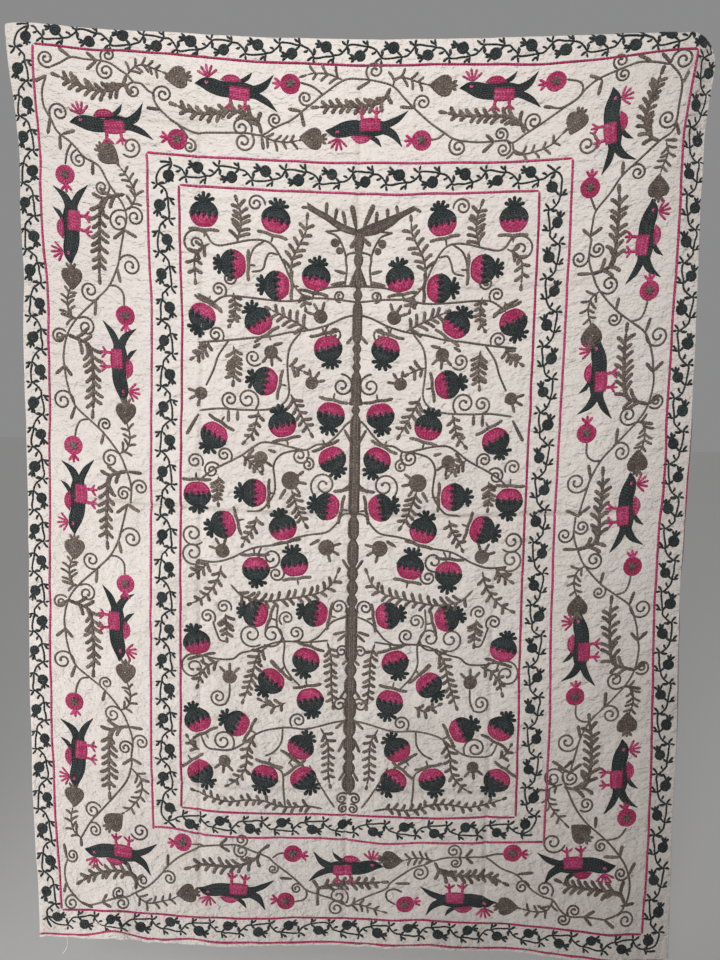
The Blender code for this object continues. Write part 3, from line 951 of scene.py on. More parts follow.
# A disc worked as one row that winds in to its middle.
def workDisc(piece, at, radius, row, tones):
    count = max(2, int(round(radius / row)))
    wide = radius / count
    t = np.linspace(0, count + 0.3, 24 * count)
    ring = np.maximum(radius - wide * (0.5 + np.maximum(0, t - 0.6)), wide * 0.12)
    turn = 2 * math.pi * t + shake.uniform(0, 6)
    points = np.asarray(at) + ring[:, None] * np.stack([np.cos(turn), np.sin(turn)], axis=1)
    path = smoothPath(points, min(stitch["step"], wide * 0.8))
    addRow(piece, path, wide * 1.5, (tones[0] + tones[1]) / 2, height=0.0015)
    middle = np.asarray(at) + np.array(((-1.0, 0), (1.0, 0))) * wide
    addRow(piece, smoothPath(middle, wide * 0.5), wide * 1.5, tones[1], height=0.0016, even=True)


smallFruit = {"row": 0.0036, "fingers": (-46, 0, 44), "finger": 0.018, "fingerWidth": 0.0076}


def workSmallFruit(piece, at, heading, radius, fingers=None):
    middle = chart(at)[0]
    workDisc(piece, middle, radius / 100, smallFruit["row"], (0.40, 0.55))
    for finger in fingers or smallFruit["fingers"]:
        turn = math.radians(heading + finger)
        way = np.array((math.sin(turn), -math.cos(turn)))
        workLeaf(piece, middle + way * radius / 100 * 0.3, middle + way * (radius / 100 + smallFruit["finger"]),
                 smallFruit["fingerWidth"])


# The field's left half; the right half mirrors it.
treeBranches = (
    ((0, 22.8), (-6.1, 22.2), (-10, 22.1), (-12.5, 21.2), (-14.5, 18.7), (-16.3, 14.8), (-18.2, 11.8),
     (-20.2, 10.6), (-23.2, 10.6), (-27.4, 11.6), (-30.3, 12.1), (-32.0, 11.3), (-33.2, 9.2)),
    ((-20.5, 10.8), (-22.3, 12.0), (-23.3, 13.8), (-23.7, 15.6)),
    ((-17.5, 13.4), (-19.2, 13.1), (-20.1, 14.6), (-20.8, 16.6), (-23, 17.2)),
    ((-10, 22.3), (-15, 23), (-20, 22.9), (-25, 22.6), (-29, 22.7), (-31.5, 24.2), (-32.4, 25)),
    ((0, 25.4), (-3, 26.2), (-6.5, 27.8), (-10.5, 29), (-15, 29.7), (-19, 30.7), (-23, 31.2),
     (-27.4, 31.9), (-31, 32.4), (-35, 32.9)),
    ((-28.2, 32), (-30.5, 35.4), (-31.6, 38.6), (-33.2, 42)),
    ((-12.4, 29.6), (-14.5, 32.4), (-15.2, 35.5), (-15.1, 39), (-14.8, 42.5), (-15.6, 44.6),
     (-17.4, 45.8), (-20, 46.6), (-25, 46.9), (-30, 46.9), (-34.6, 47.6)),
    ((0, 19.3), (-4, 19.5), (-7, 20), (-9.8, 21)),
    ((0, 12.2), (-2.6, 13), (-2.5, 16), (-2.9, 19.4)),
    ((-7, 8.2), (-4.8, 9.0), (-3.5, 11), (-2.6, 13.6)), ((-3, 7.6), (-5, 7.9), (-7.2, 8.1)),
    ((0, 47.6), (-2, 49.2), (-4, 51.6), (-6.2, 53.5), (-8.6, 53.9), (-11, 55.1), (-14.2, 54.6),
     (-17, 54), (-20.4, 53.8), (-22.7, 55), (-25, 56.8), (-27.4, 58.2), (-30, 59.6), (-32.6, 61.3),
     (-34.6, 63.2)),
    ((-12.5, 55.1), (-16.4, 56.3), (-18, 58.7), (-17.8, 61.5), (-17.7, 64.4), (-19, 67), (-21, 69),
     (-24, 69.4)),
    ((0, 69), (-2.4, 69.4), (-3.9, 71.5), (-6.1, 73.4), (-10, 74.1), (-13.3, 75), (-16, 76.3),
     (-21.6, 77.3), (-24.5, 78.5), (-27.2, 80), (-31, 81.2), (-35, 81)),
    ((0, 92.2), (-4, 93.6), (-6, 95.7), (-7.7, 97.6), (-10, 98.9)),
    ((-5.4, 98.2), (-10, 98.8), (-13.8, 98.7), (-16.8, 99), (-19.3, 99.9), (-22.4, 101.2),
     (-25, 101.9), (-27, 103.4), (-31, 103.6), (-35, 102.8)),
    ((-16.7, 90.6), (-16.9, 95), (-15.2, 98.8), (-15.3, 103.5), (-13.8, 106.6), (-11.4, 109.2)),
    ((0, 116.8), (-4, 117.5), (-7, 118.4), (-10.4, 119.2), (-14.4, 119), (-18.4, 119.7),
     (-21.4, 120.9), (-24.2, 123.2), (-27, 124.8), (-30.4, 125.1), (-32.8, 124.6), (-34.2, 121.6)),
    ((-15.3, 119.4), (-15.6, 122.5), (-17.2, 124.8), (-19.2, 125.8)),
    ((-20.6, 127), (-16.8, 128.6), (-15.2, 130), (-15, 134), (-14.6, 138)),
    ((-9, 128), (-6.2, 133.4), (-3.2, 138)),
    ((-31.3, 95), (-30.5, 97.4), (-29.6, 99.2), (-28, 99.3)),
    ((-27.5, 109.4), (-27.6, 112.2), (-28.5, 114.2)),
)
treeSprigs = (
    (((-26.2, 11.3), (-25.4, 8), (-25.5, 5), (-26.2, 2.8)), 6, 2.1),
    (((-32.2, 11.8), (-34.6, 13.2), (-35.6, 15.4), (-35.6, 19.4)), 4, 1.9),
    (((-27.2, 21.8), (-26.8, 24.6), (-27, 27.2), (-27.8, 28.6)), 5, 1.5),
    (((-32.6, 32.7), (-34, 34.8), (-36, 36.2)), 4, 1.7),
    (((-14.8, 17.6), (-14.2, 14), (-12.8, 11), (-11.5, 8.4), (-11.2, 5.8)), 6, 2.1),
    (((-12.3, 21.4), (-11.6, 23), (-11.4, 24.2)), 2, 1.6),
    (((-10.6, 29), (-13.8, 27.3), (-16.6, 26), (-19, 25)), 5, 2.2),
    (((-27.2, 33.2), (-26.9, 36.5), (-27.2, 40.6)), 6, 2.0),
    (((-15, 36.8), (-13.4, 37.2), (-11.6, 38)), 2, 1.9),
    (((-21.5, 46.8), (-22, 49), (-22.7, 51.6), (-24.3, 53.6)), 4, 1.7),
    (((-14.4, 43), (-13, 45.8), (-11.4, 48.8), (-10, 51.2)), 5, 1.9),
    (((-25, 56.9), (-23, 58.5), (-21.2, 60.2)), 3, 1.7),
    (((-30.2, 61.8), (-30.5, 65), (-30.3, 67.6)), 5, 1.6),
    (((-14, 64), (-13, 67), (-12, 69.8), (-10.9, 71.6)), 5, 1.9),
    (((-32.5, 81.2), (-34, 83), (-35.8, 84.2)), 3, 1.9),
    (((-21.6, 70.2), (-22.2, 72.5), (-23.8, 75), (-24.6, 76.6)), 4, 1.6),
    (((-27.5, 86.2), (-24.5, 88.8), (-19.5, 89.6), (-15, 88.9), (-11, 88.1), (-7, 87), (-4.4, 84.8),
      (-3.4, 82.6)), 13, 2.0),
    (((-29.6, 82), (-30.2, 84.6), (-31.8, 87.6), (-34, 89.8), (-36.2, 91)), 5, 1.8),
    (((-19, 100), (-21.3, 102.5), (-22.4, 107), (-23.5, 110.5), (-24.3, 112.8)), 8, 1.8),
    (((-29.8, 104), (-32.5, 105.4), (-34.2, 107.7), (-34.8, 110)), 4, 1.7),
    (((-21.6, 121), (-23.2, 124.5), (-23.8, 129.2), (-26, 132.2), (-27.6, 133.4)), 7, 1.7),
    (((-6.6, 118.8), (-5, 122), (-4.7, 125.3), (-4.7, 129.8), (-4.3, 132.4)), 7, 1.7),
    (((-5.4, 98.6), (-4.5, 102.3), (-4.4, 107), (-4.1, 111.4), (-3.9, 113.2)), 8, 1.7),
    (((-6, 138.6), (-9.4, 138), (-12.8, 138.3), (-16.2, 138), (-19.6, 136.8), (-23.5, 136.8),
      (-27.5, 137.4), (-30.4, 137), (-33.8, 136.2), (-35.6, 135.6)), 14, 1.6),
    (((-14.8, 113.2), (-17.4, 114.2), (-20.2, 112.9)), 3, 1.7),
    (((-28.6, 93), (-28.3, 96), (-28.2, 98.4)), 4, 1.9),
    (((-34.6, 125.6), (-36, 124.6), (-37, 122.9)), 2, 1.5),
)
# Spirals: start, centre, hand.
treeSpirals = (
    ((-20.2, 3.4), (-22.2, 2.9), -1), ((-32.0, 11.3), (-35.3, 12.0), -1), ((-26.6, 18.0), (-28, 18.8), 1),
    ((-29.2, 22.8), (-30.4, 21.4), -1), ((-29.6, 32.2), (-31.1, 31.0), -1), ((-3.4, 22.9), (-3.9, 21.6), 1),
    ((-21.0, 36.4), (-22.8, 35.4), 1), ((-3.6, 38.2), (-3.1, 40.8), 1), ((-27.6, 46.9), (-27.9, 44.8), 1),
    ((-22.4, 46.8), (-24, 44.6), -1), ((-34.0, 60), (-35.6, 58.8), -1), ((-30.0, 59.6), (-31.8, 60.6), -1),
    ((-27.6, 58.2), (-29, 57), -1), ((-10.6, 55), (-12.2, 56.4), 1), ((-11, 56.8), (-10.4, 58.3), 1),
    ((-8.6, 65.5), (-6.8, 62.8), 1), ((-33.8, 76.8), (-36.1, 75.2), 1), ((-33.6, 81.2), (-36, 79.4), 1),
    ((-20.4, 77.2), (-18.4, 79.6), -1), ((-16, 81.6), (-17.2, 83.2), 1), ((-27.4, 92.4), (-29, 91.4), -1),
    ((-31.2, 95.2), (-32.6, 93.8), -1), ((-20.4, 99.6), (-22.7, 97.5), 1), ((-20, 99.6), (-18, 97.3), -1),
    ((-15.6, 95), (-14.7, 93.3), 1), ((-13.2, 98.6), (-12.6, 96.7), -1), ((-1.6, 91.8), (-3, 90.4), -1),
    ((-33.4, 103.4), (-35.8, 105.9), -1), ((-28.4, 114), (-30, 112.5), 1), ((-13, 118.9), (-11.8, 117.2), 1),
    ((-26.8, 124.8), (-29, 123), -1), ((-1, 114.8), (-2.3, 113.2), -1), ((-6, 27.6), (-5, 29.6), -1),
)
treeLeaves = (
    (-35, 22.6, -31.4, 24.4), (-31.4, 24.4, -29.6, 26.4), (-28.2, 47.2, -28.2, 49.8),
    (-26.2, 47.2, -26.2, 49.5), (-35, 48.6, -37.6, 53.2), (-1, 63.6, -4.8, 64.2), (-18, 103.2, -15.6, 106.2),
    (-1.6, 96, -4.3, 96.8), (-9.6, 76.3, -7.4, 75), (-23.8, 57, -22.4, 55.2), (-19.2, 55.4, -17.4, 55.9),
    (-34.6, 42.6, -33, 44.6), (-21.4, 32.4, -23, 33.4), (-16.4, 32, -18.6, 32.6), (-5, 16.2, -2.6, 16.8),
    (-5.8, 19.2, -2.6, 18.6), (-13.8, 125.2, -11.8, 126.8), (-16.6, 66.2, -15.2, 63.8),
)
smallFruits = (
    (-8, 26, 330, 1.5), (-18.9, 34, 175, 1.5), (-34.4, 43.8, 240, 1.4), (-9.8, 40.3, 35, 1.4),
    (-20.9, 57.3, 170, 1.5), (-14.2, 62, 100, 2.0), (-29.3, 78.5, 330, 1.6), (-6, 76.8, 120, 1.8),
    (-27.5, 107.6, 0, 1.6), (-28.6, 127.6, 185, 1.4),
)
for side in (1, -1):
    mirrored = np.array((side, 1.0))
    for points in treeBranches:
        workStem("field_stems", np.array(points) * mirrored)
    for points, pairs, length in treeSprigs:
        workSprig("field_leaves", np.array(points) * mirrored, pairs, length)
    for start, centre, hand in treeSpirals:
        workSpiral("field_stems", np.array(start) * mirrored, np.array(centre) * mirrored, hand * side)
    for a, b, c, d in treeLeaves:
        workLeaf("field_leaves", chart((a * side, b))[0], chart((c * side, d))[0])
    for across, down, heading, radius in smallFruits:
        workSmallFruit("field_leaves", (across * side, down), heading * side, radius)

# Trunk: rows side by side between two knobbly edges, under a bowl of fingers.
trunk = {
    "rows": 6,
    "notches": (12.2, 15.5, 20.0, 22.6, 31.6, 33.9, 35.6, 37.6, 45.1, 47.0, 69.8, 75.0, 81.0, 84.2,
                87.5, 90.3, 103.3, 106.5, 111.1, 116.6, 120.7, 124.4, 126.8, 130.0, 135.4),
    "beadTop": 1.0, "beadFoot": 1.5, "pinch": 0.46, "round": 1.7,
    "flares": ((16.2, 19.4, 2.0), (42.4, 44.9, 1.7), (60.8, 63.4, 1.6)),
    "barbs": ((0.3, 29.4, 2.4, 31.8), (0.5, 54, 2.5, 50.2), (0.5, 62.3, 3.3, 64.4), (0.4, 82.4, 2.4, 79.3),
              (0.4, 95.8, 3.2, 98.3), (0.7, 102.6, 2.1, 103.9), (1.0, 109.6, 2.4, 111.8),
              (0.8, 116.6, 3.3, 119.0), (1.2, 121.4, 2.5, 124.6), (1.0, 129.2, 2.3, 131.6)),
    "barbWidth": 0.0074,
    "curls": ((0.9, 101.8, 2.1, 100.6), (0.2, 135.2, 1.5, 135.9), (0.3, 137.3, 1.1, 138.4)),
    "bowlUpper": ((-11.4, 2.0), (-9, 3.5), (-6.8, 4.5), (-5.3, 5.5), (-3.1, 6.6), (-0.4, 7.4), (1.4, 6.7),
                  (4.4, 5.5), (7, 4.5), (9.2, 3.6), (12, 2.3)),
    "bowlLower": ((-11.2, 3.6), (-8.8, 4.9), (-6.8, 6), (-5.4, 7), (-3.4, 8.1), (-0.6, 8.8), (1.4, 8.9),
                  (4.3, 8.2), (7, 6.7), (9.2, 5), (12.2, 3.4)),
    "bowlRows": 6,
    "fingers": ((-7.1, 4.6, -7.0, 1.9, 9), (-5.2, 5.6, -4.8, 3.1, 9), (-2.9, 6.6, -3.6, 3.6, 9),
                (-0.6, 7.2, -1.7, 2.4, 12), (1.0, 7.0, 3.1, 2.2, 12), (3.6, 6.2, 3.8, 3.6, 9),
                (6.1, 5.2, 6.0, 2.9, 9), (8.3, 4.4, 7.9, 2.3, 8), (-11, 3.2, -12.6, 3.2, 8),
                (11.6, 2.9, 13.4, 3.8, 8), (0, 8.6, -1.9, 11.6, 10), (0, 8.6, 2.7, 11.0, 10)),
    "neckLeft": ((-0.9, 8.6), (-1.1, 10.2), (-0.9, 11.6), (-0.6, 12.6)),
    "berries": ((-5.1, 10.4, 0.95), (-4.1, 12.0, 0.8)),
}


def workChartStrip(piece, leftSide, rightSide, rows, tones):
    left, right = smoothPath(chart(leftSide)), smoothPath(chart(rightSide))
    count = max(len(left), len(right))
    steps = np.linspace(0, 1, count)
    left = np.stack([np.interp(steps, np.linspace(0, 1, len(left)), left[:, k]) for k in (0, 1)], axis=1)
    right = np.stack([np.interp(steps, np.linspace(0, 1, len(right)), right[:, k]) for k in (0, 1)], axis=1)
    wide = np.linalg.norm(right - left, axis=1) / rows * 1.34
    for k in range(rows):
        path = left + (right - left) * (k + 0.5) / rows
        addRow(piece, path, np.maximum(wide, 0.0014), tones[0] if k in (0, rows - 1) else tones[1], height=0.0015)


# Half width of the trunk: round beads between its notches, growing towards the foot, with a few flares.
notches = np.array(trunk["notches"])
down = np.arange(notches[0], notches[-1], 0.28)
gap = np.abs(down[:, None] - notches[None]).min(axis=1) / trunk["round"]
rise = np.sin(np.minimum(gap, 1) * math.pi / 2)
half = np.interp(down, notches[[0, -1]], (trunk["beadTop"], trunk["beadFoot"]))
half = half * (trunk["pinch"] + (1 - trunk["pinch"]) * rise)
for start, end, wide in trunk["flares"]:
    inside = (down > start) & (down < end)
    half = np.where(inside, np.maximum(half, np.interp(down, (start, end), (0.8, wide))), half)
half[-9:] *= np.linspace(1, 0.3, 9)
workChartStrip("tree_trunk", np.stack([-half, down], axis=1), np.stack([half, down], axis=1), trunk["rows"], (0.36, 0.5))
workChartStrip("tree_trunk", trunk["bowlUpper"], trunk["bowlLower"], trunk["bowlRows"], (0.36, 0.5))
neckLeft = np.array(trunk["neckLeft"])
workChartStrip("tree_trunk", neckLeft, neckLeft * (-1, 1), trunk["rows"], (0.36, 0.5))
for a, b, c, d, wide in trunk["fingers"]:
    workLeaf("tree_trunk", chart((a, b))[0], chart((c, d))[0], wide * mm)
for side in (1, -1):
    for a, b, c, d in trunk["curls"]:
        workSpiral("tree_trunk", (side * a, b), (side * c, d), side)
    for a, b, c, d in trunk["barbs"]:
        workLeaf("tree_trunk", chart((a * side, b))[0], chart((c * side, d))[0], trunk["barbWidth"])
    for across, low, radius in trunk["berries"]:
        workDisc("field_leaves", chart((across * side, low))[0], radius / 100, 0.0036, (0.40, 0.55))


# Birds: (middle across, middle down, heading of the beak, wing on its right).
birds = (
    (-27.0, -21.5, 274, True), (-54.0, -12.5, 265, True), (0.5, -12.5, 268, False),
    (28.5, -22.0, 272, True), (54.5, -12.5, 350, True), (63.0, 11.5, 3, True),
    (52.5, 39.5, 0, False), (62.5, 69.0, 0, True), (51.5, 99.5, 0, False), (63.0, 130.0, 0, True),
    (-63.5, 11.0, 183, True), (-52.0, 39.5, 178, False), (-63.5, 70.0, 183, True),
    (-52.5, 98.5, 179, False), (-64.0, 130.5, 182, True),
    (-54.5, 153.5, 273, False), (-27.0, 160.5, 275, False), (0.5, 152.5, 88, False),
    (27.0, 162.0, 89, True), (54.0, 152.5, 86, True),
)
for across, down, heading, wingRight in birds:
    workBird(chart((across, down))[0], heading, not wingRight)


# Vine of the two dark bands: one half unit, in centimetres along and beside its way, mirrored in turn.
bandUnit = {
    "pitch": 7.1, "twigReach": 1.18, "stem": 0.0052, "twig": 0.0062, "fruit": 0.0122, "row": 0.0037,
    "vine": ((0, 0.9), (0.8, 1.05), (1.9, 1.2), (3.2, 1.35), (4.2, 1.3), (4.7, 0.6), (5.4, -0.2), (6.2, -0.75),
             (7.1, -0.9)),
    "twigs": (((0, 0.9), (0.25, 1.6), (0.3, 2.4)), ((4.2, 1.3), (4.8, 1.4), (5.6, 2.1)),
              ((0, 0.9), (0.5, 0.5), (1.0, 0.0)), ((0.15, 1.4), (0.8, 1.8), (1.3, 2.3)),
              ((4.4, 1.35), (4.4, 1.9), (4.2, 2.5)), ((5.4, -0.2), (5.9, 0.2), (6.5, 0.3))),
    "leaf": ((4.45, 1.1), (4.2, 0.3), (4.3, -0.7)),
    "at": (1.75, -0.75), "crown": (2.45, -1.05), "prongs": ((4.2, -0.55), (4.25, -1.4), (3.8, -2.3)),
}


# A rounded rectangle walked against the clock, as points with the way to the right of travel.
def bandWay(reach, top, corner):
    bottom = clothHeight - top
    arcs = []
    for cx, cy, first in ((-reach, top, 0), (-reach, bottom, 1), (reach, bottom, 2), (reach, top, 3)):
        inX, inY = cx - math.copysign(corner, cx), cy + (corner if cy == top else -corner)
        turn = np.linspace(0, math.pi / 2, 9)
        start = -math.pi / 2 - first * math.pi / 2
        arcs.append(np.stack([inX + corner * np.cos(start - turn), inY + corner * np.sin(start - turn)], axis=1))
    ring = np.vstack(arcs + [arcs[0][:1]])
    lengths = np.concatenate([[0], np.cumsum(np.linalg.norm(np.diff(ring, axis=0), axis=1))])
    where = np.linspace(0, lengths[-1], 4001)
    path = np.stack([np.interp(where, lengths, ring[:, k]) for k in (0, 1)], axis=1)
    tangent = np.gradient(path, axis=0)
    tangent /= np.linalg.norm(tangent, axis=1, keepdims=True)
    return where, path, np.stack([-tangent[:, 1], tangent[:, 0]], axis=1)


def workBand(piece, reach, top, corner):
    where, path, right = bandWay(reach, top, corner)
    count = 2 * int(round(where[-1] / bandUnit["pitch"] * 100 / 2))
    pitch = where[-1] / count
    scale = pitch * 100 / bandUnit["pitch"]

    def onWay(points, k):
        points = np.asarray(points, float)
        s = (k * pitch + points[:, 0] * scale / 100) % where[-1]
        t = points[:, 1] / 100 * (1 if k % 2 == 0 else -1)
        return np.stack([np.interp(s, where, path[:, j]) + np.interp(s, where, right[:, j]) * t for j in (0, 1)], axis=1)

    vine = [
        onWay(np.array(bandUnit["vine"][:-1]) + shake.uniform(-0.12, 0.12, (len(bandUnit["vine"]) - 1, 2)), k)
        for k in range(count)
    ]
    vine = np.vstack(vine + [vine[0][:1]])
    for start in range(0, len(vine) - 1, 80):
        addRow(piece, smoothPath(vine[start:start + 82]), bandUnit["stem"], 0.42)
    for k in range(count):
        for twig in bandUnit["twigs"]:
            twig = np.array(twig)
            twig = twig[0] + (twig - twig[0]) * bandUnit["twigReach"] * shake.uniform(0.9, 1.1)
            laid = smoothPath(onWay(twig, k))
            addRow(piece, laid, np.linspace(0.85, 1.15, len(laid)) * bandUnit["twig"], 0.42)
        laid = smoothPath(onWay(bandUnit["leaf"], k))
        addRow(piece, laid, np.interp(np.linspace(0, 1, len(laid)), (0, 0.5, 1), (0.7, 1.2, 1.0)) * 0.0070, 0.42, height=0.0014)
        middle = onWay([bandUnit["at"]], k)[0] + shake.uniform(-0.001, 0.001, 2)
        workDisc(piece, middle, bandUnit["fruit"] * shake.uniform(0.95, 1.06), bandUnit["row"], (0.38, 0.48))
        for prong in bandUnit["prongs"]:
            prong = np.array(prong) + shake.uniform(-0.15, 0.15, 2)
            laid = smoothPath(onWay((bandUnit["at"], bandUnit["crown"], prong), k), 0.0029)
            laid = laid[len(laid) // 4:]
            addRow(piece, laid, np.interp(np.linspace(0, 1, len(laid)), (0, 1), (0.8, 1.2)) * 0.0062, 0.42, height=0.0014)


workBand("outer_vine", frameReach + 0.0268, frameTop - 0.0268, 0.020)
workBand("inner_vine", cloth["fieldWidth"] / 2 + cloth["innerBandSide"] / 2,
         fieldTop - cloth["innerBandEnd"] / 2, 0.022)

# Heart: nested rows round a cleft top, with prongs out of the cleft.
heart = {
    "half": ((0, 12), (5, 19), (13, 22.5), (21, 18.5), (23.5, 9), (20, -2), (11, -13), (0, -25)),
    "row": 3.9, "reach": 20.0, "prongs": ((-11, 34), (0, 36), (11, 34)), "prongWidth": 0.0074,
}


def workHeart(at, heading, prongs=3):
    at = chart(at)[0]
    half = smoothPath(heart["half"], 1.2)
    whole = np.vstack([half, half[::-1][1:-1] * (-1, 1)])
    count = len(whole)
    t = np.linspace(0, 5.0, 5 * count // 2)
    share = np.maximum(1 - (0.5 + np.maximum(0, t - 0.5)) * heart["row"] / heart["reach"], 0.03)
    spots = np.stack([np.interp(t * count % count, np.arange(count), whole[:, k]) for k in (0, 1)], axis=1)
    path = smoothPath(placeMotif((spots - (0, 1)) * share[:, None] + (0, 1), at, heading, mm))
    addRow("border_hearts", path, heart["row"] * mm * 1.7, 0.45, height=0.0015)
    for tip in heart["prongs"][:prongs]:
        base, tip = placeMotif(((0, 14), tip), at, heading, mm)
        workLeaf("border_hearts", base, tip, heart["prongWidth"])


# Fruit of the border: a pink disc with a taupe star in it and a small crown.
borderFruit = {
    "radius": 0.0212, "row": 0.0037, "star": 0.0122, "points": 5, "crown": (-40, 0, 38),
    "prong": 0.020, "prongWidth": 0.0070,
}


def workBorderFruit(at, heading, size=1.0):
    middle = chart(at)[0]
    workDisc("border_fruit", middle, borderFruit["radius"] * size, borderFruit["row"], (0.36, 0.52))
    for angle in borderFruit["crown"]:
        turn = math.radians(heading + angle)
        way = np.array((math.sin(turn), -math.cos(turn)))
        foot = middle + np.array((math.sin(math.radians(heading)), -math.cos(math.radians(heading)))) * borderFruit["radius"] * 0.9
        workLeaf("border_fruit", foot, foot + way * borderFruit["prong"] * size, borderFruit["prongWidth"])
    for k in range(borderFruit["points"]):
        turn = math.radians(heading + 72 * k + 20)
        way = np.array((math.sin(turn), -math.cos(turn)))
        path = smoothPath((middle - way * 0.002, middle + way * borderFruit["star"]), 0.0026)
        addRow("border_stars", path, 0.0080, 0.45, height=0.0010, lift=0.0012)


# One period of the side border, on the left side; the right side is the same turned half round.
sideUnit = {
    "turns": (0, 59.5),
    "stems": (
        ((-50.9, 10.2), (-51.5, 12.9), (-52.2, 15.7), (-53.1, 18.8), (-55.1, 22.5), (-58.2, 25.8),
         (-62.7, 30.4), (-64.8, 33.9), (-65.7, 38.3), (-65.4, 41.5), (-64.9, 44.7), (-63.3, 49),
         (-59.9, 51.8), (-56.5, 54.4), (-52.8, 58.6), (-51.2, 61.8), (-50, 65.7), (-50.3, 69.7)),
        ((-55.1, 22.5), (-53.4, 22.5), (-51.9, 23.9), (-51.8, 26.4)),
        ((-59.9, 51.8), (-61.8, 52.3), (-62.8, 54), (-63.2, 56)),
    ),
    "sprigs": (
        (((-62.7, 30.4), (-64.2, 29.8), (-64.6, 26.6), (-63.7, 23.6)), 5, 2.2),
        (((-52.7, 58.7), (-51, 57.4), (-50.4, 54.8), (-51.2, 51.6)), 4, 2.1),
    ),
    "ferns": (
        (((-64.8, 34.0), (-62.4, 34.7), (-60, 35.8), (-59.3, 38.6), (-59, 42.9), (-58.9, 47.2), (-59, 49.6)), 9, 2.9),
        (((-50.7, 62.4), (-53.4, 63.1), (-55.4, 64.6), (-55.6, 69), (-55.8, 75), (-55.7, 78.6)), 9, 2.8),
    ),
    "spirals": (
        ((-52.6, 17.2), (-50, 17.9), 1), ((-57.4, 25.2), (-59.5, 24.0), 1), ((-62.4, 30.4), (-60.6, 31.9), 1),
        ((-65.0, 33.6), (-66.6, 34.6), -1), ((-63.4, 49.2), (-66, 48.4), -1), ((-57.3, 53.8), (-56.1, 52.6), 1),
        ((-52.8, 58.8), (-54.7, 60), -1), ((-49.9, 66.6), (-48.0, 65.8), 1), ((-50, 66.9), (-51.7, 67.5), -1),
    ),
    "leaves": (
        (-50.9, 10.4, -53.5, 12.6), (-50.9, 10.4, -48, 11.8), (-53, 18.6, -52.4, 21.8),
        (-58.2, 25.9, -58.5, 29.4), (-65.4, 40.8, -67.6, 42.9), (-65.4, 40.8, -63.7, 42.9),
        (-63.2, 49.4, -64.2, 52.4), (-56.4, 54.6, -57, 57.2), (-50.6, 62.5, -47.5, 62.6),
        (-64.8, 34, -67.4, 35.6), (-62.7, 30.4, -66.4, 29.6),
    ),
    "hearts": ((-63.4, 21.9, 0), (-51.5, 49.7, 0)),
    "fruits": ((-51.6, 28.6, 180), (-63.5, 58.0, 178)),
}


# Turns a chart half round the field's middle, then slides it along.
def turned(points, round_, slide=0.0):
    points = np.atleast_2d(np.array(points, float)) + (0, slide)
    return points * -1 + (0, 140) if round_ else points


def workBorder(part, round_=False, slide=0.0):
    for points in part.get("stems", ()):
        workStem("border_stems", turned(points, round_, slide))
    for points, pairs, length in part.get("sprigs", ()):
        workSprig("border_leaves", turned(points, round_, slide), pairs, length, "border")
    for points, pairs, length in part.get("ferns", ()):
        workSprig("border_ferns", turned(points, round_, slide), pairs, length, "fern")
    for start, centre, hand in part.get("spirals", ()):
        workSpiral("border_stems", turned(start, round_, slide), turned(centre, round_, slide), hand)
    for a, b, c, d in part.get("leaves", ()):
        workLeaf("border_leaves", chart(turned((a, b), round_, slide))[0], chart(turned((c, d), round_, slide))[0])
    for across, down, heading in part.get("hearts", ()):
        workHeart(turned((across, down), round_, slide)[0], heading + (180 if round_ else 0))
    for across, down, heading in part.get("fruits", ()):
        workBorderFruit(turned((across, down), round_, slide)[0], heading + (180 if round_ else 0))


for slide in sideUnit["turns"]:
    workBorder(sideUnit, False, slide)
    workBorder(sideUnit, True, slide)

